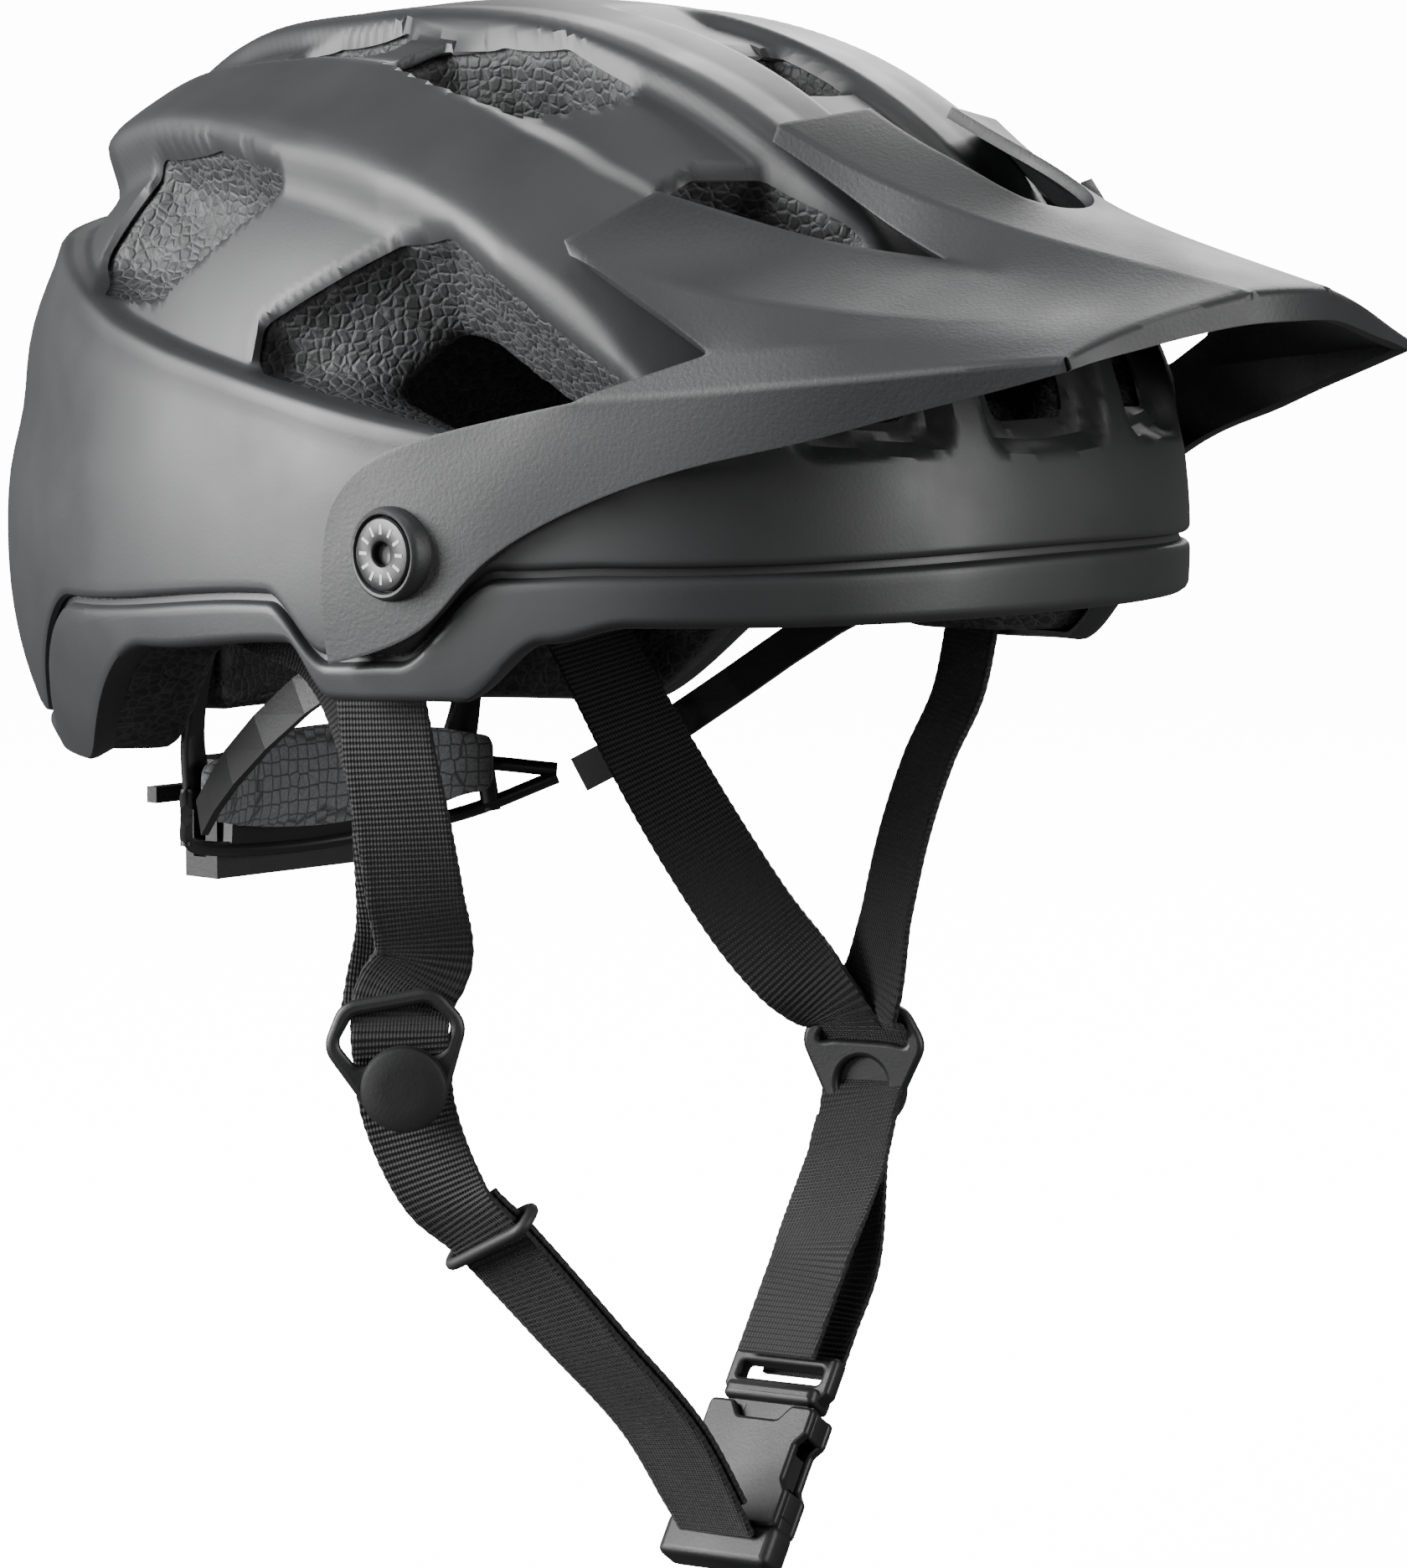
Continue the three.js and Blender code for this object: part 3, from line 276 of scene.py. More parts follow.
def mesh_from(name, points, faces, slots=None, sharp=35):
    """A mesh from millimetre points and a list of index arrays, each of one face size."""
    mesh = bpy.data.meshes.new(name)
    points = np.asarray(points, float) * MM
    faces = [np.asarray(f, np.int32) for f in faces if len(f)]
    loops = np.concatenate([f.ravel() for f in faces])
    sizes = np.concatenate([np.full(len(f), f.shape[1], np.int32) for f in faces])
    mesh.vertices.add(len(points))
    mesh.vertices.foreach_set("co", points.astype(np.float32).ravel())
    mesh.loops.add(len(loops))
    mesh.loops.foreach_set("vertex_index", loops)
    mesh.polygons.add(len(sizes))
    starts = np.concatenate([[0], np.cumsum(sizes)[:-1]]).astype(np.int32)
    mesh.polygons.foreach_set("loop_start", starts)
    mesh.polygons.foreach_set("loop_total", sizes)
    mesh.update(calc_edges=True)
    mesh.validate()
    mesh.polygons.foreach_set("use_smooth", np.ones(len(mesh.polygons), bool))
    if slots is not None:
        mesh.polygons.foreach_set("material_index", np.concatenate(slots).astype(np.int32))
    mesh.set_sharp_from_angle(angle=math.radians(sharp))
    mesh.update()
    return mesh


def vertex_normals(points, faces):
    total = np.zeros_like(points)
    for f in faces:
        a, b, c = points[f[:, 0]], points[f[:, 1]], points[f[:, 2]]
        n = np.cross(b - a, c - a)
        if f.shape[1] == 4:
            n = n + np.cross(c - a, points[f[:, 3]] - a)
        for k in range(f.shape[1]):
            np.add.at(total, f[:, k], n)
    return total / np.maximum(np.linalg.norm(total, axis=1, keepdims=True), 1e-12)


def skin_solid(points, faces, thickness):
    """An open sheet thickened inward; returns points, faces and material slots (1 on the cut edge)."""
    normals = vertex_normals(points, faces)
    count = len(points)
    inner = [f[:, ::-1] + count for f in faces]
    sides = [(f, k, (k + 1) % f.shape[1]) for f in faces for k in range(f.shape[1])]
    edges = np.concatenate([np.stack([f[:, k], f[:, after]], 1) for f, k, after in sides])
    keys = np.sort(edges, 1)
    _, first, uses = np.unique(keys[:, 0] * count + keys[:, 1], return_index=True, return_counts=True)
    open_edges = edges[first[uses == 1]]
    wall = np.stack([open_edges[:, 1], open_edges[:, 0], open_edges[:, 0] + count, open_edges[:, 1] + count], 1)
    both = np.concatenate([points, points - normals * thickness])
    slots = [np.zeros(len(f)) for f in faces] + [np.zeros(len(f)) for f in inner] + [np.ones(len(wall))]
    used = np.unique(np.concatenate([f.ravel() for f in [*faces, *inner, wall]]))
    place = np.full(len(both), -1)
    place[used] = np.arange(len(used))
    return both[used], [place[f] for f in [*faces, *inner, wall]], slots


def sheet_quads(n, m):
    """Quads of an n by m grid of points whose first direction wraps round."""
    index = np.arange(n * m).reshape(n, m)
    following = np.roll(index, -1, 0)
    corners = [index[:, :-1], index[:, 1:], following[:, 1:], following[:, :-1]]
    return np.stack(corners, -1).reshape(-1, 4)


def neighbours(heading, lift, d, di, dj):
    """Heading, lift and distance of each point's neighbour in one of the four directions."""
    if di:
        turned = heading + half_turn(np.roll(heading, -di, 0) - heading)
        return turned, np.roll(lift, -di, 0), np.roll(d, -di, 0)
    other_d = np.roll(d, -dj, 1)
    end = -1 if dj > 0 else 0
    other_d[:, end] = d[:, end]
    return heading, np.roll(lift, -dj, 1), other_d


def snapped_sheet(heading, lift, distance):
    """Moves grid points onto the vents' outlines, and drops what lies inside them."""
    d = distance(heading, lift)
    best = np.full(heading.shape, 1e9)
    new_h, new_l, new_d = heading.copy(), lift.copy(), d.copy()
    for di, dj in ((1, 0), (-1, 0), (0, 1), (0, -1)):
        other_h, other_l, other_d = neighbours(heading, lift, d, di, dj)
        crossing = d * other_d < 0
        t = np.where(crossing, d / np.where(crossing, d - other_d, 1), 1)
        take = crossing & (t <= 0.5) & (t < best)
        best = np.where(take, t, best)
        new_h = np.where(take, heading + (other_h - heading) * t, new_h)
        new_l = np.where(take, lift + (other_l - lift) * t, new_l)
        new_d = np.where(take, 0, new_d)
    quads = sheet_quads(*heading.shape)
    s = np.sign(new_d).ravel()[quads]
    low, high = s.min(1), s.max(1)
    middle_h = new_h.ravel()[quads]
    middle_h = middle_h[:, :1] + half_turn(middle_h - middle_h[:, :1])
    flat = distance(middle_h.mean(1), new_l.ravel()[quads].mean(1)) > 0
    whole = quads[(low >= 0) & ((high > 0) | flat)]
    mixed = (low < 0) & (high > 0)
    tris = []
    for k in range(4):
        mine = mixed & (s[:, k] > 0)
        tris.append(quads[mine][:, [(k - 1) % 4, k, (k + 1) % 4]])
    return new_h, new_l, np.maximum(new_d, 0), whole, np.concatenate(tris)


COLUMNS = 560
LOW_ROWS, STEP_ROWS, HIGH_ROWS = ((24, 9, 80))
STEP_HALF = 0.032     # radians of lift either side of the panel's edge that get close rows
EDGE_ABOVE = 1.1      # the close rows' middle, above the panel's edge
POLE_GAP = 0.012      # radians between the top row and the crown's middle point
LIP_RADIUS = 1.5      # rounding round the vents
GROOVE_HALF = 0.9     # half the gap between the two shells
GROOVE_LIP = 1.5      # rounding along that gap


def rolled(distance, radius):
    """How far a rounded edge falls away, by distance from the edge."""
    return radius * (1 - np.sqrt(np.maximum(1 - np.clip(1 - distance / radius, 0, 1) ** 2, 0)))


def upper_shell_mesh():
    turn = np.linspace(0, 2 * math.pi, COLUMNS, endpoint=False)
    start = lift_of_height(SHELL, curve_value(GROOVE, turn) + GROOVE_HALF)[:, None]
    edge = lift_of_height(SHELL, panel_top(turn) + EDGE_ABOVE)[:, None]
    reach = edge - STEP_HALF - start
    lip = reach / LOW_ROWS
    low = start + reach * np.linspace(0, 1, LOW_ROWS, endpoint=False)[None]
    ends = edge[:, 0] - STEP_HALF, edge[:, 0] + STEP_HALF
    step = np.linspace(*ends, STEP_ROWS, endpoint=False, axis=1)
    top = math.pi / 2 - POLE_GAP
    high = edge + STEP_HALF + (top - edge - STEP_HALF) * np.linspace(0, 1, HIGH_ROWS)[None]
    lift = np.concatenate([low[:, :1], start + lip * 0.22, start + lip * 0.55, low[:, 1:], step, high], 1)
    heading = np.repeat(turn[:, None], lift.shape[1], 1)
    h, l, d, quads, tris = snapped_sheet(heading, lift, vent_distance)
    base = form_point(SHELL, h, l)
    above = base[..., 2] - (curve_value(GROOVE, h) + GROOVE_HALF)
    offset = relief(h, l) - rolled(d, LIP_RADIUS) - rolled(above, GROOVE_LIP)
    points = (base + form_normal(SHELL, h, l) * offset[..., None]).reshape(-1, 3)
    pole = len(points)
    points = np.vstack([points, [0, LEAN, CROWN]])
    rows = lift.shape[1]
    last = np.arange(COLUMNS) * rows + rows - 1
    cap = np.stack([last, np.full(COLUMNS, pole), np.roll(last, -1)], 1)
    return skin_mesh("outer_shell_skin", points, [quads, np.concatenate([tris, cap])])


def skin_mesh(name, points, faces):
    """A skin from its outer sheet, with the faces turned outward first."""
    if np.sum(vertex_normals(points, faces) * (points - points.mean(0))) < 0:
        faces = [f[:, ::-1] for f in faces]
    return mesh_from(name, *skin_solid(points, faces, SKIN))


LIP_ROWS = [(2.3, 3.4), (2.3, 1.2), (2.0, 0.3)]               # inward and upward steps behind the top lip
SIDE_SHARES = (0.01, 0.04, 0.1, 0.2, 0.35, 0.5, 0.65, 0.8, 0.9, 1)
RIM_ROWS = [(0.4, 0.9), (1.3, 1.6), (2.8, 2.0), (6.5, 2.1)]     # inward and downward steps of the rolled rim


def lower_shell_mesh():
    heading = np.linspace(0, 2 * math.pi, COLUMNS, endpoint=False)
    top = curve_value(GROOVE, heading) - GROOVE_HALF
    rim = curve_value(RIM, heading)
    rows = []

    def row(z, back):
        lift = lift_of_height(SHELL, z)
        return form_point(SHELL, heading, lift) - form_normal(SHELL, heading, lift) * back

    for back, rise in LIP_ROWS:
        rows.append(row(top, back) + np.array([0, 0, rise]))
    for share in SIDE_SHARES:
        z = top + (rim - top) * share
        rows.append(row(z, rolled(top - z, GROOVE_LIP)[:, None]))
    outward = form_normal(SHELL, heading, lift_of_height(SHELL, rim))
    edge_row = rows[-1]
    for back, drop in RIM_ROWS:
        rows.append(edge_row - outward * back + np.array([0, 0, -drop]))
    grid = np.stack(rows, 1)
    return skin_mesh("lower_shell_skin", grid.reshape(-1, 3), [sheet_quads(*grid.shape[:2])])


# ---- foam liner, as a distance field ----
VOXEL = 1.7
LINER_REACH = (112, (-138, 142), (-52, 120))      # extent of the field in x, y and z
CHANNEL_X, CHANNEL_HALF, CHANNEL_DEPTH = 24, 6, 5     # air channels along the inside
RIM_BACK = 1.0                                    # foam above the lower shell's rim
STRAP_POCKETS = [((-94, -42, -60), (-82, -19, -9)), ((-66, 62, -16), (-50, 80, 0))]
PIN_PLACE, PIN_RADIUS, PIN_INNER = (-50, -8), 2.9, 60     # the cradle's temple pins


def smooth_max(a, b, radius):
    h = np.clip(0.5 + 0.5 * (a - b) / radius, 0, 1)
    return b + (a - b) * h + radius * h * (1 - h)


def form_field(form, x, y, z):
    """Distance to a form, with the heading and lift of each place."""
    level = np.where(z > 0, LEAN * np.minimum(z / form["crown"], 1.1) ** 2, 0)
    across = np.abs(x) / form["width"]
    back = y - level
    along = np.abs(back) / np.where(back < 0, form["front"], form["rear"])
    flat = (across ** PLAN_POWER + along ** PLAN_POWER) ** (1 / PLAN_POWER)
    high = np.abs(z) / np.where(z < 0, form["depth"], form["crown"])
    g = (flat ** SIDE_POWER + high ** SIDE_POWER) ** (1 / SIDE_POWER)
    slope = np.sqrt(sum(c ** 2 for c in np.gradient(g, VOXEL)))
    heading = np.arctan2(-x, -back)
    return (g - 1) / np.maximum(slope, 1e-4), heading, np.sign(z) * np.arctan2(high, flat)


def box_distance(low, high, place):
    """A rough distance to a box, below zero inside it."""
    return np.maximum.reduce([side for a, b, c in zip(low, high, place) for side in (a - c, c - b)])


def liner_mesh():
    half, (front, back), (bottom, top) = LINER_REACH
    xs = -(np.arange(math.ceil(half / VOXEL))[::-1] + 0.5) * VOXEL
    ys = np.arange(front, back, VOXEL)
    zs = np.arange(bottom, top, VOXEL)
    x, y, z = np.meshgrid(xs, ys, zs, indexing="ij")
    outer, heading, lift = form_field(SHELL, x, y, z)
    outer = outer - relief(heading, lift) + FOAM_BACK
    cavity = form_field(CAVITY, x, y, z)[0]
    channels = np.abs(np.abs(x) - CHANNEL_X) - CHANNEL_HALF
    cavity = np.minimum(cavity, smooth_max(cavity - CHANNEL_DEPTH, channels, 3))
    body = smooth_max(outer, -cavity, 2.5)
    body = smooth_max(body, curve_value(RIM, heading) + RIM_BACK - z, 4)
    near = np.abs(outer + 15) < 40
    vents = np.full(body.shape, 1e3)
    vents[near] = vent_distance(heading[near], lift[near], -outer[near])
    body = smooth_max(body, -vents, 2.2)
    for low, high in STRAP_POCKETS:
        body = np.maximum(body, -box_distance(low, high, (x, y, z)))
    pin = np.hypot(y - PIN_PLACE[0], z - PIN_PLACE[1]) - PIN_RADIUS
    body = np.where(np.abs(x) > PIN_INNER, np.maximum(body, -pin), body)
    whole = np.concatenate([body, body[::-1]], 0).astype(np.float32)
    grid = openvdb.FloatGrid(10.0)
    grid.copyFromArray(np.clip(whole, -10, 10))
    points, tris, quads = grid.convertToPolygons(isovalue=0.0, adaptivity=0.0)
    points = points * VOXEL + np.array([xs[0], ys[0], zs[0]])
    return mesh_from("eps_liner_foam", points, [quads, tris], sharp=70)


# ---- materials ----
class Nodes:
    """A short way to write a shader's node tree."""

    def __init__(self, name):
        self.material = bpy.data.materials.new(name)
        self.material.use_nodes = True
        self.tree = self.material.node_tree
        self.shader = self.tree.nodes["Principled BSDF"]

    def add(self, kind, inputs=None, **settings):
        node = self.tree.nodes.new("ShaderNode" + kind)
        for key, value in settings.items():
            setattr(node, key, value)
        for key, value in (inputs or {}).items():
            if isinstance(value, bpy.types.NodeSocket):
                self.tree.links.new(value, node.inputs[key])
            else:
                node.inputs[key].default_value = value
        return node

    def link(self, source, socket):
        self.tree.links.new(source, self.shader.inputs[socket])

    def ramp(self, source, stops):
        node = self.add("ValToRGB", {"Fac": source})
        while len(node.color_ramp.elements) < len(stops):
            node.color_ramp.elements.new(0.5)
        for element, (place, shade) in zip(node.color_ramp.elements, stops):
            element.position = place
            element.color = (*([shade] * 3 if np.isscalar(shade) else shade), 1)
        return node.outputs["Color"]

    def noise(self, size, detail=3.0, where=None):
        place = where or self.add("TexCoord").outputs["Object"]
        return self.add("TexNoise", {"Vector": place, "Scale": 1 / size, "Detail": detail}).outputs["Fac"]

    def bump(self, height, depth, strength=1.0, normal=None):
        inputs = {"Height": height, "Distance": depth, "Strength": strength}
        if normal is not None:
            inputs["Normal"] = normal
        return self.add("Bump", inputs).outputs["Normal"]


def tinted(base, share):
    return [max(c * share, 0) for c in base]


def moulded(name, base, roughness, grain, depth, mottle=0.12):
    """Painted or moulded plastic: fine grain, slow tone changes and smudged gloss."""
    n = Nodes(name)
    slow = n.noise(0.045, 2)
    n.link(n.ramp(slow, [(0.3, tinted(base, 1 - mottle)), (0.7, tinted(base, 1 + mottle))]), "Base Color")
    fine = n.noise(grain, 4)
    smudge = n.noise(0.02, 4)
    rough = n.add("MapRange", {"Value": smudge, "From Min": 0.3, "From Max": 0.7,
                               "To Min": roughness - 0.05, "To Max": roughness + 0.05})
    n.link(rough.outputs["Result"], "Roughness")
    n.link(n.bump(fine, depth), "Normal")
    n.shader.inputs["Specular IOR Level"].default_value = 0.5
    return n.material


def bead_foam(name, base, boundary):
    """Moulded bead foam: flattened cells with raised, lighter borders."""
    n = Nodes(name)
    place = n.add("TexCoord").outputs["Object"]
    wobble = n.add("TexNoise", {"Vector": place, "Scale": 350.0, "Detail": 2.0})
    shift = {"Fac": 0.0011, "Color1": place, "Color2": wobble.outputs["Color"]}
    shifted = n.add("MixRGB", shift, blend_type="ADD").outputs["Color"]
    beads = {"Vector": shifted, "Scale": 430.0, "Randomness": 0.75}
    cells = n.add("TexVoronoi", beads, feature="DISTANCE_TO_EDGE")
    ids = n.add("TexVoronoi", beads)
    stops = [(0.0, boundary), (0.06, tinted(boundary, 0.8)), (0.2, base), (1.0, tinted(base, 0.7))]
    edge = n.ramp(cells.outputs["Distance"], stops)
    tone = n.ramp(ids.outputs["Color"], [(0.0, 0.55), (1.0, 1.5)])
    mixed = n.add("MixRGB", {"Fac": 1.0, "Color1": edge, "Color2": tone}, blend_type="MULTIPLY")
    n.link(mixed.outputs["Color"], "Base Color")
    n.shader.inputs["Roughness"].default_value = 0.62
    grain = n.noise(0.0004, 3)
    cell_bump = n.bump(n.ramp(cells.outputs["Distance"], [(0.0, 0.0), (0.22, 1.0)]), 0.0004, 0.6)
    n.link(n.bump(grain, 0.0001, 0.5, cell_bump), "Normal")
    return n.material


def webbing_cloth(name, base):
    """Ribbed narrow webbing: ribs across and twill threads within each rib."""
    n = Nodes(name)
    split = n.add("SeparateXYZ", {"Vector": n.add("UVMap").outputs["UV"]})
    across, along = split.outputs["X"], split.outputs["Y"]

    def wave(value, pitch, shift=None):
        scaled = n.add("Math", {0: value, 1: 2 * math.pi / pitch}, operation="MULTIPLY").outputs[0]
        if shift is not None:
            scaled = n.add("Math", {0: scaled, 1: shift}, operation="ADD").outputs[0]
        sine = n.add("Math", {0: scaled}, operation="SINE").outputs[0]
        return n.add("MapRange", {"Value": sine, "From Min": -1.0, "From Max": 1.0}).outputs["Result"]

    ribs = wave(along, RIB_PITCH * MM)
    slant = n.add("Math", {0: along, 1: 900.0}, operation="MULTIPLY").outputs[0]
    threads = wave(across, 0.0007, slant)
    fibre = n.noise(0.00035, 4)
    shade = n.add("Math", {0: ribs, 1: threads}, operation="MULTIPLY").outputs[0]
    shade = n.add("Math", {0: shade, 1: fibre}, operation="MULTIPLY").outputs[0]
    n.link(n.ramp(shade, [(0.0, tinted(base, 0.35)), (0.6, tinted(base, 2.2))]), "Base Color")
    n.shader.inputs["Roughness"].default_value = 0.72
    n.shader.inputs["Sheen Weight"].default_value = 0.12
    n.shader.inputs["Sheen Roughness"].default_value = 0.4
    rib_bump = n.bump(ribs, 0.00022, 0.8)
    n.link(n.bump(threads, 0.00012, 0.8, n.bump(fibre, 0.00005, 0.5, rib_bump)), "Normal")
    return n.material


def pad_cloth(name, base):
    """Open knit over foam: honeycomb rows of small holes with a fine knit between them."""
    n = Nodes(name)
    place = n.add("TexCoord").outputs["Object"]
    comb = {"Vector": place, "Scale": 330.0, "Randomness": 0.25}
    cell = n.add("TexVoronoi", comb, feature="DISTANCE_TO_EDGE")
    knit = n.noise(0.0005, 3)
    line = n.ramp(cell.outputs["Distance"], [(0.0, 0.25), (0.1, 1.0)])
    soft = n.ramp(knit, [(0.3, tinted(base, 0.7)), (0.7, tinted(base, 1.25))])
    mixed = n.add("MixRGB", {"Fac": 1.0, "Color1": soft, "Color2": line}, blend_type="MULTIPLY")
    n.link(mixed.outputs["Color"], "Base Color")
    n.shader.inputs["Roughness"].default_value = 0.85
    n.shader.inputs["Sheen Weight"].default_value = 0.2
    n.link(n.bump(knit, 0.0002, 0.6, n.bump(line, 0.0004, 0.7)), "Normal")
    return n.material


def turned_metal(name, base, roughness):
    n = Nodes(name)
    n.link(n.ramp(n.noise(0.004, 3), [(0.3, tinted(base, 0.85)), (0.7, base)]), "Base Color")
    n.shader.inputs["Metallic"].default_value = 1.0
    n.shader.inputs["Roughness"].default_value = roughness
    n.link(n.bump(n.noise(0.0006, 3), 0.00004), "Normal")
    return n.material


RIB_PITCH = 1.25      # millimetres between the webbing's cross ribs
STITCH_PITCH = 2.5    # millimetres between the selvedge's small waves
SHELL_PAINT = moulded("shell_paint", [0.023, 0.0236, 0.025], 0.47, 0.0007, 0.00002, 0.06)
SKIN_EDGE = moulded("skin_cut_edge", [0.16, 0.16, 0.165], 0.5, 0.0008, 0.00002)
VISOR_NYLON = moulded("visor_nylon", [0.021, 0.0215, 0.023], 0.52, 0.00085, 0.00007, 0.08)
FOAM = bead_foam("bead_foam", [0.016, 0.0165, 0.0175], [0.042, 0.043, 0.045])
BLACK = moulded("black_acetal", [0.010, 0.0102, 0.011], 0.46, 0.0007, 0.00004)
BUCKLE_PLASTIC = moulded("buckle_acetal", [0.0055, 0.0056, 0.006], 0.5, 0.0007, 0.00004)
BLACK_SATIN = moulded("black_satin", [0.011, 0.0112, 0.012], 0.36, 0.0009, 0.00002)
WEBBING = webbing_cloth("webbing", [0.0028, 0.0028, 0.0030])
MESH_CLOTH = pad_cloth("pad_mesh", [0.17, 0.173, 0.18])
RUBBER = moulded("keeper_rubber", [0.012, 0.012, 0.013], 0.6, 0.0006, 0.00003)
MARKS = moulded("screw_marks", [0.45, 0.45, 0.46], 0.45, 0.0006, 0.00001)
BRASS = turned_metal("insert_brass", [0.55, 0.4, 0.18], 0.3)


# ---- general pieces ----
def placed_matrix(origin, right, up):
    x = Vector(right).normalized()
    y = Vector(up)
    y = (y - x * y.dot(x)).normalized()
    z = x.cross(y)
    return Matrix.Translation(Vector(origin) * MM) @ Matrix((x, y, z)).transposed().to_4x4()


def settle(obj):
    """Turns a curve or modifiers into a plain mesh with its place in the vertices."""
    bpy.context.view_layer.update()
    graph = bpy.context.evaluated_depsgraph_get()
    mesh = bpy.data.meshes.new_from_object(obj.evaluated_get(graph))
    mesh.transform(obj.matrix_world)
    name, materials = obj.name, list(obj.data.materials)
    old = obj.data
    bpy.data.objects.remove(obj)
    if isinstance(old, bpy.types.Curve):
        bpy.data.curves.remove(old)
    mesh.materials.clear()
    mesh.polygons.foreach_set("use_smooth", np.ones(len(mesh.polygons), bool))
    mesh.set_sharp_from_angle(angle=math.radians(40))
    return add_object(name, mesh, materials)


def rounded_corners(corners, radius, steps=5):
    """A closed outline with its corners rounded, as points."""
    result = []
    count = len(corners)
    for k in range(count):
        p = np.array(corners[k], float)
        a, b = np.array(corners[k - 1], float) - p, np.array(corners[(k + 1) % count], float) - p
        la, lb = np.linalg.norm(a), np.linalg.norm(b)
        a, b = a / la, b / lb
        half = math.acos(float(np.clip(a @ b, -1, 1))) / 2
        reach = min(radius / math.tan(max(half, 0.1)), la * 0.45, lb * 0.45)
        for t in np.linspace(0, 1, steps):
            result.append(tuple(p + a * reach * (1 - t) ** 2 + b * reach * t ** 2))
    return result


def plate(name, outlines, thickness, bevel, matrix, material):
    """A flat plate with holes and rounded edges. Local x and y lie in the plate, in millimetres."""
    curve = bpy.data.curves.new(name, "CURVE")
    curve.dimensions = "2D"
    curve.fill_mode = "BOTH"
    curve.extrude = (thickness / 2 - bevel) * MM
    curve.bevel_depth = bevel * MM
    curve.bevel_resolution = 2
    curve.offset = -bevel * MM
    for outline in outlines:
        spline = curve.splines.new("POLY")
        spline.points.add(len(outline) - 1)
        for point, (x, y) in zip(spline.points, outline):
            point.co = (x * MM, y * MM, 0, 1)
        spline.use_cyclic_u = True
    obj = add_object(name, curve, [material])
    obj.matrix_world = matrix
    return settle(obj)


def circle(x, y, radius, sides=40):
    turns = np.linspace(0, 2 * math.pi, sides, endpoint=False)
    return [(x + radius * math.cos(a), y + radius * math.sin(a)) for a in turns]


def lathe(name, profile, origin, axis, material, sides=64, scallops=0, scallop_depth=0.0):
    """Turns a profile of (radius, height) about an axis from origin; scallops cut into the widest radius."""
    matrix = Vector(axis).to_track_quat("Z", "Y").to_matrix()
    widest = max(r for r, _ in profile)
    points, count = [], len(profile)
    for a in np.linspace(0, 2 * math.pi, sides, endpoint=False):
        groove = scallop_depth * (0.5 + 0.5 * math.cos(scallops * a)) ** 2
        for r, h in profile:
            cut = groove if r > widest * 0.8 and scallops else 0
            p = matrix @ Vector(((r - cut) * math.cos(a), (r - cut) * math.sin(a), h))
            points.append(Vector(origin) + p)
    quads = sheet_quads(sides, count)[:, [0, 3, 2, 1]]
    return add_object(name, mesh_from(name, np.array(points), [quads], sharp=32), [material])


def spline_frames(points, across, places):
    """Places, run, width and face directions along a smooth line through points."""
    pts = np.array(points, float)
    count = len(pts)
    ends = np.vstack([2 * pts[0] - pts[1], pts, 2 * pts[-1] - pts[-2]])

    def at(t):
        p = t * (count - 1)
        k = min(int(p), count - 2)
        w = p - k
        p0, p1, p2, p3 = ends[k:k + 4]
        d0, d1, d2 = (max(np.linalg.norm(b - a) ** 0.5, 1e-3) for a, b in ((p0, p1), (p1, p2), (p2, p3)))
        m1 = ((p1 - p0) / d0 - (p2 - p0) / (d0 + d1) + (p2 - p1) / d1) * d1
        m2 = ((p2 - p1) / d1 - (p3 - p1) / (d1 + d2) + (p3 - p2) / d2) * d1
        return p1 + m1 * w + (-3 * p1 + 3 * p2 - 2 * m1 - m2) * w ** 2 + (2 * p1 - 2 * p2 + m1 + m2) * w ** 3

    spots = np.array([at(t) for t in places])
    run = np.array([at(min(t + 1e-3, 1)) - at(max(t - 1e-3, 0)) for t in places])
    run /= np.linalg.norm(run, axis=1, keepdims=True)
    knots = np.linspace(0, 1, len(across))
    side = np.stack([np.interp(places, knots, [a[i] for a in across]) for i in range(3)], 1)
    side -= run * np.sum(side * run, 1, keepdims=True)
    side /= np.linalg.norm(side, axis=1, keepdims=True)
    face = np.cross(run, side)
    return spots, run, side, face


def even_places(points, across, span, pitch):
    """Places along the line at equal distances of length."""
    rough = np.linspace(span[0], span[1], 240)
    spots = spline_frames(points, across, rough)[0]
    length = np.concatenate([[0], np.cumsum(np.linalg.norm(np.diff(spots, axis=0), axis=1))])
    count = max(int(round(length[-1] / pitch)), 4)
    return np.interp(np.linspace(0, length[-1], count + 1), length, rough), length[-1]


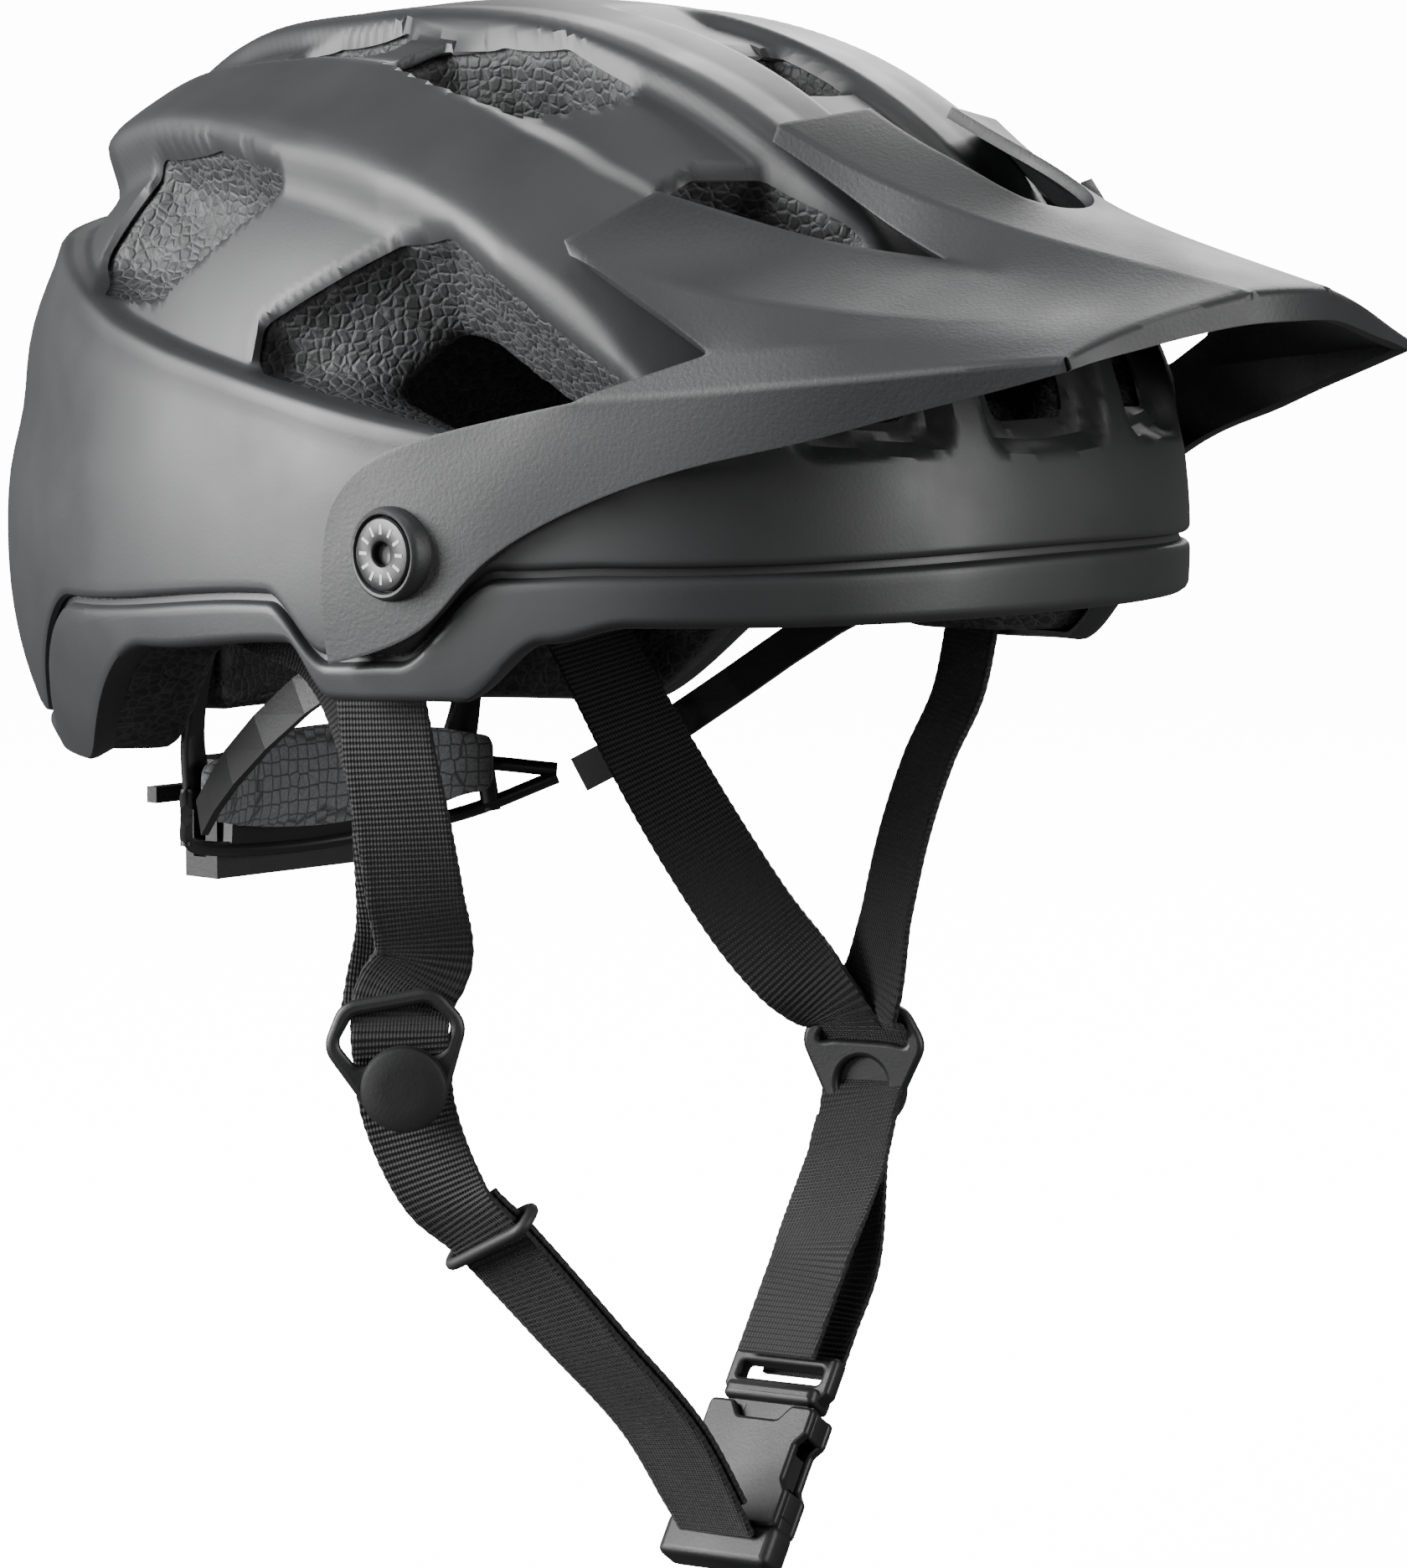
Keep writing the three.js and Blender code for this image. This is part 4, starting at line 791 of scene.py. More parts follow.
def band(name, points, across, section, material, pitch=1.5, rise=0.0, span=(0, 1), swell=None):
    """Sweeps a closed section (x across, y through) along a line, capped at both ends."""
    places, length = even_places(points, across, span, pitch)
    spots, _, side, face = spline_frames(points, across, places)
    section = np.array(section, float)
    rings, uv_rings = [], []
    for k, t in enumerate(np.linspace(0, 1, len(places))):
        xs, ys = section[:, 0], section[:, 1]
        if swell is not None:
            xs, ys = swell(t, t * length, xs, ys)
        rings.append(spots[k] + side[k] * xs[:, None] + face[k] * (ys + rise)[:, None])
        uv_rings.append(np.stack([xs * MM, np.full(len(xs), t * length * MM)], 1))
    grid = np.array(rings)
    n, m = grid.shape[:2]
    index = np.arange(n * m).reshape(n, m)
    following = np.roll(index, -1, 1)
    quads = np.stack([index[:-1], following[:-1], following[1:], index[1:]], -1).reshape(-1, 4)
    points_out = np.vstack([grid.reshape(-1, 3), grid[0].mean(0), grid[-1].mean(0)])
    first, last = n * m, n * m + 1
    caps = [np.stack([index[0], np.full(m, first), following[0]], 1),
            np.stack([following[-1], np.full(m, last), index[-1]], 1)]
    tris = np.concatenate(caps)
    mesh = mesh_from(name, points_out, [quads, tris], sharp=50)
    uvs = np.vstack([np.array(uv_rings).reshape(-1, 2), uv_rings[0].mean(0), uv_rings[-1].mean(0)])
    layer = mesh.uv_layers.new(name="UVMap")
    corner = np.zeros(len(mesh.loops), np.int32)
    mesh.loops.foreach_get("vertex_index", corner)
    layer.data.foreach_set("uv", uvs[corner].astype(np.float32).ravel())
    obj = add_object(name, mesh, [material])
    obj["length_mm"] = float(length)
    return obj


def flat_section(width, thickness, chamfer=0.5):
    w, h = width / 2, thickness / 2
    return [(w, h - chamfer), (w - chamfer, h), (0, h), (chamfer - w, h), (-w, h - chamfer),
            (-w, chamfer - h), (chamfer - w, -h), (0, -h), (w - chamfer, -h), (w, chamfer - h)]


def web_section(width, thickness):
    """Webbing: a little thicker at the selvedges, round at the edge."""
    w, h = width / 2, thickness / 2
    top = [(w, 0.0), (w - 0.25, h * 0.8), (w - 0.9, h), (w - 2.0, h * 0.86), (w * 0.5, h * 0.9)]
    top += [(0, h * 0.92)] + [(-x, y) for x, y in top[:0:-1]]
    return top + [(-x, -y) for x, y in top]


def web_ribs(t, distance, xs, ys):
    inner = smooth(0, 1.2, 10 - np.abs(xs))
    wave = math.sin(2 * math.pi * distance / RIB_PITCH)
    stitch = math.sin(2 * math.pi * distance / STITCH_PITCH)
    return xs + 0.08 * np.sign(xs) * (1 - inner) * stitch, ys * (1 + 0.12 * wave * inner)


def on_body(obj, body, nodes):
    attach(obj, body)
    if nodes:
        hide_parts(*nodes)
    return obj


# ---- visor ----
VISOR_POINTS = {
    "fold4": (-89, -84, 34.2), "fold5": (-80.5, -107, 35.8), "fold6": (-74, -125, 38.2),
    "fold7": (-67.5, -140, 39.6), "fold8": (-60, -156, 41.8), "fold9": (-51.5, -174.5, 43.5),
    "low4": (-88.2, -86, 15.3), "low5": (-79.5, -107, 23), "low6": (-71, -125, 27),
    "low7": (-64.7, -140, 32), "low8": (-58, -156, 36.5), "low9": (-51, -174.7, 42), "tip": (-76, -107, 43),
    "side3": (-69, -125, 45), "side4": (-61, -139, 46), "side5": (-53, -156, 46),
    "side6": (-45, -175.5, 46), "side7": (-44, -176.5, 43.6), "finFoot0": (-79.5, -73.5, 61.5),
    "finFoot1": (-78, -90, 53.2), "fin0": (-79.5, -71.5, 64), "fin1": (-75, -87, 56.7),
    "fin2": (-70, -104, 53), "fin3": (-60, -125, 50.5), "fin4": (-54, -139, 49.6),
    "fin5": (-45, -156, 48.9), "fin6": (-38, -177.5, 48.5), "fin7": (-36, -178.5, 45.2),
    "inner0": (-64.6, -81.8, 73.5), "inner1": (-52, -98, 67), "inner2": (-42, -110, 62.3),
    "valley3": (-30, -127, 59.7), "valley4": (-30, -141, 56.8), "valley5": (-28, -158, 54),
    "valley6": (-26, -181.5, 52), "valley7": (-25, -182, 47.7), "crestFoot0": (-33.5, -84, 82.6),
    "crestFoot1": (-30, -98, 74.3), "crestFoot2": (-28.5, -111, 66), "crest0": (-32, -84, 85.6),
    "crest1": (-28, -99, 77.5), "crest2": (-25, -115, 71.5), "crest3": (-22, -127, 67.8),
    "crest4": (-19.5, -140, 64.5), "crest5": (-16, -158, 60.6), "crest6": (-12, -186, 54.8),
    "crest7": (-13, -186.2, 49.6), "ridge0": (-12, -90, 88.3), "ridge1": (-13, -103, 82.2),
    "ridge2": (-12.5, -117, 77), "ridge3": (-11, -131, 70), "ridge4": (-9, -141, 66.5),
    "ridge5": (-8, -159, 62.2), "ridge6": (-6, -187.2, 55.1), "ridge7": (-6, -187.7, 49.8),
    "mid3": (0, -135, 68.5), "mid4": (0, -142, 66.3), "mid5": (0, -160, 62.4), "mid6": (0, -187.5, 55.2),
    "mid7": (0, -188, 49.8),
}
ARM_STATIONS = [((-32.5, 12), (-32, -18.5)), ((-39, 21), (-43, -16)), ((-52, 26.2), (-57, -10.2)),
                ((-68, 30.2), (-65, 3))]
ARM_OFFSET = 2.8
VISOR_LINES = ["side", "fin", "valley", "crest", "ridge", "mid"]     # lines running forward on the front half
VISOR_FACES = [
    "fold4 tip fold5", "finFoot0 fin0 fin1 finFoot1", "finFoot1 fin1 fin2 tip", "fin0 inner0 inner1 fin1",
    "fin1 inner1 inner2 fin2", "fin2 inner2 valley3 fin3", "tip fin2 fin3 side3", "fold5 tip side3 fold6",
    "crestFoot0 crest0 crest1 crestFoot1", "crestFoot1 crest1 crest2 crestFoot2",
    "crestFoot2 crest2 crest3 valley3", "crest0 ridge0 ridge1 crest1", "crest1 ridge1 ridge2 crest2",
    "crest2 ridge2 ridge3 crest3",
]
for row in (3, 4, 5, 6):
    end = "low9" if row == 6 else f"fold{row + 4}"
    VISOR_FACES.append(f"fold{row + 3} side{row} side{row + 1} {end}")
    for a, b in zip(VISOR_LINES, VISOR_LINES[1:]):
        VISOR_FACES.append(f"{a}{row} {b}{row} {b}{row + 1} {a}{row + 1}")
CREASES = {
    0.95: ["arm2_0 arm3_0 fold4 fold5 fold6 fold7 fold8 fold9", "fold9 side6 fin6 valley6 crest6 ridge6 mid6"],
    1.0: ["crest0 crest1 crest2 crest3 crest4 crest5 crest6", "fin0 fin1 fin2 fin3 fin4"],
    0.6: ["inner2 valley3 valley4", "tip side3 side4", "ridge1 ridge2 ridge3", "fin4 fin5"],
}
CORNERS = {"fin0": 0.85, "finFoot0": 0.85, "inner0": 0.8, "crest0": 0.85, "crestFoot0": 0.85, "ridge0": 0.75,
           "low9": 0.9, "fold9": 0.9, "arm0_3": 0.6}


def arm_place(y, z):
    """The point of the arm plate over the shell's side at a given y and z."""
    lean = LEAN * (z / CROWN) ** 2 if z > 0 else 0
    tall = 1 - (abs(z) / (CROWN if z > 0 else DEPTH)) ** SIDE_POWER
    plan = tall ** (PLAN_POWER / SIDE_POWER) - (abs(y - lean) / FRONT) ** PLAN_POWER
    return (-(HALF_WIDTH * plan ** (1 / PLAN_POWER) + ARM_OFFSET), y, z)


def visor_net():
    points = dict(VISOR_POINTS)
    faces = list(VISOR_FACES)
    shares = (0, 1 / 3, 2 / 3, 1)
    for k in range(10):
        for j, share in enumerate(shares):
            if k < 4:
                (ty, tz), (by, bz) = ARM_STATIONS[k]
                bow = 1.5 * math.sin(math.pi * share) if k == 0 else 0
                points[f"arm{k}_{j}"] = arm_place(ty + (by - ty) * share + bow, tz + (bz - tz) * share)
            elif 0 < j < 3:
                top, low = np.array(points[f"fold{k}"]), np.array(points[f"low{k}"])
                points[f"arm{k}_{j}"] = tuple(top + (low - top) * share)

    def key(k, j):
        if j == 0:
            return f"fold{k}" if k >= 4 else f"arm{k}_0"
        return f"low{k}" if j == 3 and k >= 4 else f"arm{k}_{j}"

    for k in range(9):
        for j in range(3):
            faces.append(" ".join([key(k, j), key(k + 1, j), key(k + 1, j + 1), key(k, j + 1)]))
    return points, faces


def visor_mesh():
    points, faces = visor_net()
    index, coords = {}, []
    for name, (x, y, z) in points.items():
        index[name, 1] = len(coords)
        coords.append((x * MM, y * MM, z * MM))
        if abs(x) > 1e-6:
            index[name, -1] = len(coords)
            coords.append((-x * MM, y * MM, z * MM))
        else:
            index[name, -1] = index[name, 1]
    loops = []
    for face in faces:
        names = face.split()
        loops.append([index[n, 1] for n in names])
        loops.append([index[n, -1] for n in reversed(names)])
    mesh = bpy.data.meshes.new("visor_form")
    mesh.from_pydata(coords, [], loops)
    mesh.update()
    edges = {tuple(sorted(e.vertices)): e.index for e in mesh.edges}
    crease = mesh.attributes.new("crease_edge", "FLOAT", "EDGE")
    for value, chains in CREASES.items():
        for chain in chains:
            names = chain.split()
            for a, b in zip(names, names[1:]):
                for side in (1, -1):
                    edge = edges.get(tuple(sorted((index[a, side], index[b, side]))))
                    if edge is not None:
                        crease.data[edge].value = value
    corner = mesh.attributes.new("crease_vert", "FLOAT", "POINT")
    for name, value in CORNERS.items():
        for side in (1, -1):
            corner.data[index[name, side]].value = value
    return mesh


BEZEL_START = 98
BEZEL = [(8.0, 0), (9.3, 1.0), (9.3, 6.8), (8.9, 7.9), (8.4, 8.3), (7.9, 8.2), (7.6, 7.7), (7.6, 5.0), (7.6, 0)]
SCREW_DISC = [(0.01, 0), (7.2, 0), (7.3, 4.6), (7.25, 5.0), (6.9, 5.35), (6.2, 5.5), (3.0, 5.6), (2.6, 5.45),
              (2.35, 5.1), (2.3, 3.4), (0.01, 3.3)]
MARK_COUNT, MARK_SPAN, MARK_HALF = 12, (3.9, 5.9), 0.32
MARK_HEIGHT, MARK_DEPTHS = 5.58, (-0.25, 0.04)


def build_visor():
    obj = add_object("visor_body", visor_mesh(), [VISOR_NYLON])
    surface = obj.modifiers.new("round", "SUBSURF")
    surface.levels = surface.render_levels = 4
    thick = obj.modifiers.new("thick", "SOLIDIFY")
    thick.thickness, thick.offset, thick.use_even_offset = 2.5 * MM, 0, True
    edge = obj.modifiers.new("edge", "BEVEL")
    edge.width, edge.segments, edge.limit_method, edge.angle_limit = 0.7 * MM, 2, "ANGLE", math.radians(55)
    obj = settle(obj)
    on_body(obj, "visor", ["visor"])
    for side, word in ((-1, "right"), (1, "left")):
        axis = (side, 0, 0)
        at = (side * BEZEL_START, SCREW_Y, SCREW_Z)
        on_body(lathe(f"visor_bezel_{word}", BEZEL, at, axis, VISOR_NYLON), "visor", [])
        start = (side * SCREW_START, SCREW_Y, SCREW_Z)
        screw = lathe(f"visor_screw_disc_{word}", SCREW_DISC, start, axis, BLACK_SATIN)
        on_body(screw, "helmet", [f"visor_screw_{word}"])
        on_body(screw_marks(word, side), "helmet", [])


def screw_marks(word, side):
    """Twelve plain painted ticks on a screw's face."""
    points, quads = [], []
    face = side * (SCREW_START + MARK_HEIGHT)
    for turn in np.arange(MARK_COUNT) * 2 * math.pi / MARK_COUNT:
        along = np.array([0, math.cos(turn), math.sin(turn)])
        across = np.array([0, -math.sin(turn), math.cos(turn)]) * MARK_HALF
        near, far = along * MARK_SPAN[0], along * MARK_SPAN[1]
        start = len(points)
        for depth in MARK_DEPTHS:
            base = np.array([face + side * depth, SCREW_Y, SCREW_Z])
            points += [base + near - across, base + far - across, base + far + across, base + near + across]
        for loop in ((4, 5, 6, 7), (0, 1, 5, 4), (1, 2, 6, 5), (2, 3, 7, 6), (3, 0, 4, 7)):
            quads.append([start + i for i in (loop if side < 0 else loop[::-1])])
    return add_object(f"screw_marks_{word}", mesh_from("marks", np.array(points), [np.array(quads)]), [MARKS])


# ---- straps, in millimetres: the CAD part's lines, with their ends carried on into the dividers ----
WEB_WIDTH, WEB_THICKNESS = 20.0, 1.6
FRONT_RIGHT = [(-89, -29, -24), (-85.4, -28.4, -39), (-80.3, -27, -54), (-74.3, -23.9, -68),
               (-67.9, -19.8, -82), (-70.4, -16.1, -90.5), (-73, -18.1, -96.4), (-72.4, -17.9, -101)]
REAR_RIGHT = [(-58, 60, -8), (-68, 45, -9), (-75, 20, -12), (-75.5, 2, -17), (-76, -11, -30),
              (-75.5, -19, -46), (-72.6, -18.4, -62), (-69.7, -16.3, -76), (-69.3, -12.8, -88),
              (-71.6, -13.4, -95)]
LOWER_RIGHT = [(-69.8, -15.2, -99), (-68.2, -15.6, -113), (-62, -20, -131), (-54, -25.5, -141),
               (-36, -33.5, -163), (-18, -38, -183), (-6, -38.6, -200), (-1.2, -38.6, -207)]
FRONT_LEFT = [(88, -31, -23), (85, -29.5, -38), (79.5, -26, -52), (74.5, -23.5, -68), (70.8, -21.5, -86),
              (69, -19.5, -100), (69.4, -16.3, -107), (72, -15.5, -112), (74.3, -14.7, -116)]
REAR_LEFT = [(54, 57.5, -8), (52.5, 53.5, -22), (51.6, 40.2, -40), (51.6, 27, -57), (54, 14, -75),
             (57.5, 3, -90), (62.5, -7, -102), (67, -11, -108), (71, -11, -112.5), (73.5, -11, -116)]
LOWER_LEFT = [(74, -13.7, -122.5), (71.3, -14.6, -124.6), (67.6, -16.4, -128.5), (60, -20.5, -136),
              (52, -25, -143)]
ALONG_EAR = [(0.3, -1, 0), (0.7, -0.72, 0), (0.7, -0.72, 0)]
RIGHT_REAR_ACROSS = [(0, -0.2, -1), (0, -0.1, -1), (0, 0.7, -0.75), (-0.4, 0.9, 0), (-0.65, 0.75, 0),
                     (-0.7, 0.72, 0)]
LEFT_FRONT_ACROSS = [(-0.3, -1, 0), (-0.3, -1, 0.1), (0.3, -0.95, 0)]
LEFT_REAR_ACROSS = [(-1, 0.3, 0), (-0.7, 0.8, 0.2), (-0.5, 1, 0.3), (-0.3, 0.95, 0)]
CHIN_ACROSS = [(0.7, -0.72, 0), (0.3, -0.95, 0.05), (0.15, -1, 0.1), (0.1, -1, 0)]
FORK_ACROSS = [(0.3, -0.95, 0), (0, -1, 0), (0.1, -1, 0)]
TAIL_RISE, TAIL_SPAN, KEEPER_PLACE = -2.1, (0.34, 0.88), 0.42
BUCKLE_FOOT = np.array([4, -38, -207])
BUCKLE_AXIS = np.array([0.565, 0.085, 0.82])
BUCKLE_ACROSS = (0.12, -1, 0.02)
BUCKLE_FACE = np.array([-0.818, -0.087, 0.569])
FORK_SPREAD = 5.4
FORK_FOOT = (63, 50, 37.5)     # places along the buckle that the two legs of the fork run through
STEP = RIB_PITCH / 4


def web(name, points, across, nodes, **options):
    section = web_section(WEB_WIDTH, WEB_THICKNESS)
    obj = band(name, points, across, section, WEBBING, pitch=STEP, swell=web_ribs, **options)
    return on_body(obj, "helmet", nodes)


def build_straps():
    web("webbing_right_front", FRONT_RIGHT, ALONG_EAR, ["strap_right_front"])
    web("webbing_right_rear", REAR_RIGHT, RIGHT_REAR_ACROSS, ["strap_right_rear"])
    web("webbing_right_lower", LOWER_RIGHT, CHIN_ACROSS, ["strap_right_lower"])
    web("webbing_right_tail", LOWER_RIGHT, CHIN_ACROSS, ["strap_right_tail"], rise=TAIL_RISE, span=TAIL_SPAN)
    web("webbing_left_front", FRONT_LEFT, LEFT_FRONT_ACROSS, ["strap_left_front"])
    web("webbing_left_rear", REAR_LEFT, LEFT_REAR_ACROSS, ["strap_left_rear"])
    web("webbing_left_lower", LOWER_LEFT, FORK_ACROSS, ["strap_left_lower"])
    for word, face in (("inner", -FORK_SPREAD), ("outer", FORK_SPREAD)):
        foot = [tuple(BUCKLE_FOOT + BUCKLE_AXIS * along + BUCKLE_FACE * face) for along in FORK_FOOT]
        line = [LOWER_LEFT[2], LOWER_LEFT[3], *foot]
        web(f"webbing_left_{word}", line, [(0.1, -1, 0), BUCKLE_ACROSS], [])


# ---- dividers and keeper ----
DIVIDERS = {
    "right": ((-72.5, -17.5, -102), (0.684, -0.708, 0.174), (-0.121, 0.125, 0.985)),
    "left": ((71.6, -14.5, -119), (-0.3, 0.954, 0), (0, 0, 1)),
}
BUTTON_DROP = 5.6
PLATE_OUTLINE = [(-15, 5), (-9.8, 13.6), (9.8, 13.6), (15, 5), (6.2, -13.2), (-6.2, -13.2)]
WINDOW = [(-11.8, 5.4), (-7.8, 10.4), (7.8, 10.4), (11.8, 5.4), (8.8, 0), (-8.8, 0)]
CRESCENT = [(-11, 4.4), (-7.4, 10.2), (7.4, 10.2), (11, 4.4), (6.6, 5.2), (-6.6, 5.2)]
BUTTON = [(0.01, 0), (7.8, 0), (8.5, 0.5), (8.8, 1.3), (8.8, 2.8), (8.4, 3.6), (7.6, 3.9), (4, 4.05),
          (0.01, 4.1)]


def build_dividers():
    outline = rounded_corners(PLATE_OUTLINE, 6, 8)
    window = rounded_corners(WINDOW, 2.8, 6)
    crescent = rounded_corners(CRESCENT, 1.6, 6)
    for word, (origin, right, up) in DIVIDERS.items():
        matrix = placed_matrix(origin, right, up)
        holes = [window] if word == "right" else [crescent, circle(0, -4.4, 6)]
        name = f"divider_frame_{word}"
        frame_plate = plate(f"divider_plate_{word}", [outline, *holes], 2.6, 1.1, matrix, BLACK)
        on_body(frame_plate, "helmet", [name])
        forward = Vector(matrix.col[2][:3])
        start = Vector(origin) + Vector(matrix.col[1][:3]) * -BUTTON_DROP + forward * 1.0
        button = lathe(f"divider_button_{word}", BUTTON, start, forward, BLACK)
        on_body(button, "helmet", [f"divider_disc_{word}"])


def build_keeper():
    spots, _, side, face = spline_frames(LOWER_RIGHT, CHIN_ACROSS, np.array([KEEPER_PLACE]))
    origin = spots[0] + face[0] * TAIL_RISE / 2
    curve = bpy.data.curves.new("keeper_ring", "CURVE")
    curve.dimensions = "3D"
    curve.bevel_depth = 1.3 * MM
    curve.bevel_resolution = 3
    spline = curve.splines.new("POLY")
    loop = rounded_corners([(-12.0, -3.6), (12.0, -3.6), (12.0, 3.6), (-12.0, 3.6)], 3.0, 8)
    spline.points.add(len(loop) - 1)
    for point, (x, y) in zip(spline.points, loop):
        point.co = (*((Vector(origin) + Vector(side[0]) * x + Vector(face[0]) * y) * MM), 1)
    spline.use_cyclic_u = True
    on_body(settle(add_object("keeper_ring", curve, [RUBBER])), "helmet", ["strap_keeper"])


# ---- buckle: the prongs stay as they are in the part ----
COVER_HALF = [(13.5, -0.5), (13.5, 8), (11.6, 10.5), (11.6, 18.5), (13.5, 21), (13.5, 27), (7.5, 27), (5, 23.5)]
TONGUE_HALF = [(11, 20.4), (11, 28.5), (13.4, 31.5), (13.4, 39.8)]
COVER_LIFT = 3.4      # from the buckle's middle to the middle of each cover


def buckle_plate(name, outlines, thickness, bevel, lift, male, replaced=()):
    slot = "buckle_male" if male else "buckle_female"
    matrix = placed_matrix(BUCKLE_FOOT + BUCKLE_FACE * lift, BUCKLE_ACROSS, BUCKLE_AXIS)
    obj = plate(name, outlines, thickness, bevel, matrix, BUCKLE_PLASTIC)
    return on_body(obj, slot if male else "helmet", replaced)


def oblong(left, right, low, high, radius):
    return rounded_corners([(left, low), (right, low), (right, high), (left, high)], radius, 6)


def mirrored(half, radius):
    return rounded_corners(half + [(-x, y) for x, y in half[::-1]], radius, 6)


def build_buckle():
    cover = mirrored(COVER_HALF, 1.6)
    buckle_plate("buckle_cover", [cover], 2.2, 0.8, COVER_LIFT, False, ["buckle_female"])
    buckle_plate("buckle_back", [cover], 2.2, 0.8, -COVER_LIFT, False)
    buckle_plate("buckle_base", [oblong(-13.4, 13.4, -1, 3, 1)], 4.8, 0.4, 0, False)
    for side, word in ((-1, "rear"), (1, "front")):
        ends = sorted((side * 11.1, side * 13.3))
        for low, high, level in ((2.5, 8.5, "low"), (20.6, 26.6, "high")):
            buckle_plate(f"buckle_wall_{word}_{level}", [oblong(*ends, low, high, 0.6)], 4.8, 0.3, 0, False)
    buckle_plate("buckle_end", [oblong(-14, 14, -9, 0.5, 2)], 8, 1.8, 0, False)
    tongue, slot = mirrored(TONGUE_HALF, 1.4), oblong(-10.4, 10.4, 33.2, 37, 1)
    buckle_plate("buckle_tongue", [tongue, slot], 4.2, 1.0, 0, True, ["buckle_male"])
    buckle_plate("buckle_guide", [oblong(-1.9, 1.9, 8.2, 21, 0.8)], 3.6, 0.8, 0, True)
    buckle_plate("buckle_stop", [oblong(-11.6, 11.6, 27.8, 32, 1.4)], 8, 1.6, 0, True)


# ---- dial retention ----
DIAL_Z = -66.0
CRADLE_LINE = [(-56, 63, -60), (-42, 77, -63), (-22, 85, -65), (0, 87.5, -66), (22, 85, -65), (42, 77, -63),
               (56, 63, -60)]
HANGER_LINE = [(-40, 69, -12), (-41, 74, -30), (-41, 77, -46), (-38, 78.5, -60)]
UP = [(0, 0, 1), (0, 0, 1)]
RAIL_MEET = 56.2      # distance from the middle at which the two rails would meet


RAIL_RISE = 7.2
PLATE_SPAN, STRUT_PLACES, STRUT_HALF = (0.32, 0.68), (0.13, 0.87), 6
DIAL_START = 100.4
DIAL = [(0.01, 0), (12.2, 0), (13, 0.8), (13, 6.6), (12.2, 8.0), (10.8, 8.6), (9.6, 8.2), (4, 8.0), (0.01, 8.0)]


def cradle_band(name, line, across, section, nodes=(), **options):
    return on_body(band(name, line, across, section, BLACK, **options), "cradle", nodes)


def waisted(t, distance, xs, ys):
    """A hanger's width along its length: narrower in the middle."""
    return xs * (1.25 - 0.5 * math.sin(math.pi * t)), ys


def build_cradle():
    rail = flat_section(3.2, 2.6, 1.2)
    for word, rise, nodes in (("upper", RAIL_RISE, ["cradle_frame"]), ("lower", -RAIL_RISE, [])):
        line = [(x, y, z + rise * math.sqrt(1 - (abs(x) / RAIL_MEET) ** 3)) for x, y, z in CRADLE_LINE]
        cradle_band(f"cradle_rail_{word}", line, UP, rail, nodes)
    cradle_band("cradle_plate", CRADLE_LINE, UP, flat_section(12.5, 2.2, 0.6), span=PLATE_SPAN)
    for k, place in enumerate(STRUT_PLACES):
        spots, run, side, _ = spline_frames(CRADLE_LINE, UP, np.array([place]))
        line = [tuple(spots[0] + side[0] * s) for s in (-STRUT_HALF, 0, STRUT_HALF)]
        cradle_band(f"cradle_strut_{k}", line, [tuple(run[0])] * 2, flat_section(4.2, 2.4, 0.7))
    for side, word in ((-1, "right"), (1, "left")):
        line = [(-side * x, y, z) for x, y, z in HANGER_LINE]
        across = [(1, -side * 0.3, 0)] * 2
        cradle_band(f"cradle_hanger_{word}", line, across, flat_section(8.5, 2.4, 0.7), swell=waisted)
    dial = lathe("dial_grip", DIAL, (0, DIAL_START, DIAL_Z), (0, 1, 0), RUBBER, sides=144, scallops=24,
                 scallop_depth=0.9)
    on_body(dial, "dial", ["dial_knob"])


# ---- pads: a slightly smaller copy of each CAD pad, blown up as cloth ----
HELMET_PADS = ["brow_pad", "crown_pad_front", "crown_pad_rear", "crown_pad_right", "crown_pad_left"]
PAD_TAPER = 0.5       # how much narrower the cradle pad is at its ends
PAD_VOXEL, PAD_CAP, PAD_INSET, PAD_FRAMES, PAD_PRESSURE = 3.0 * MM, 1.6 * MM, 1.0 * MM, 14, 4.0


def vertex_values(mesh, what):
    values = np.zeros(len(mesh.vertices) * 3, np.float32)
    mesh.vertices.foreach_get(what, values)
    return values.reshape(-1, 3)


def move_vertices(mesh, places):
    mesh.vertices.foreach_set("co", places.astype(np.float32).ravel())
    mesh.update()


def blown_up(obj, start):
    """The pad after a short cloth simulation under pressure, with each point's move capped."""
    cloth = obj.modifiers.new("swell", "CLOTH")
    cloth.settings.use_pressure = True
    cloth.settings.uniform_pressure_force = PAD_PRESSURE
    cloth.settings.effector_weights.gravity = 0
    cloth.settings.quality = 5
    cloth.point_cache.frame_start, cloth.point_cache.frame_end = 1, PAD_FRAMES
    for f in range(1, PAD_FRAMES + 1):
        bpy.context.scene.frame_set(f)
    obj = settle(obj)
    shift = vertex_values(obj.data, "co") - start
    size = np.linalg.norm(shift, axis=1, keepdims=True)
    move_vertices(obj.data, start + shift * np.minimum(1, PAD_CAP / np.maximum(size, 1e-9)))
    bpy.context.scene.frame_set(1)
    return obj


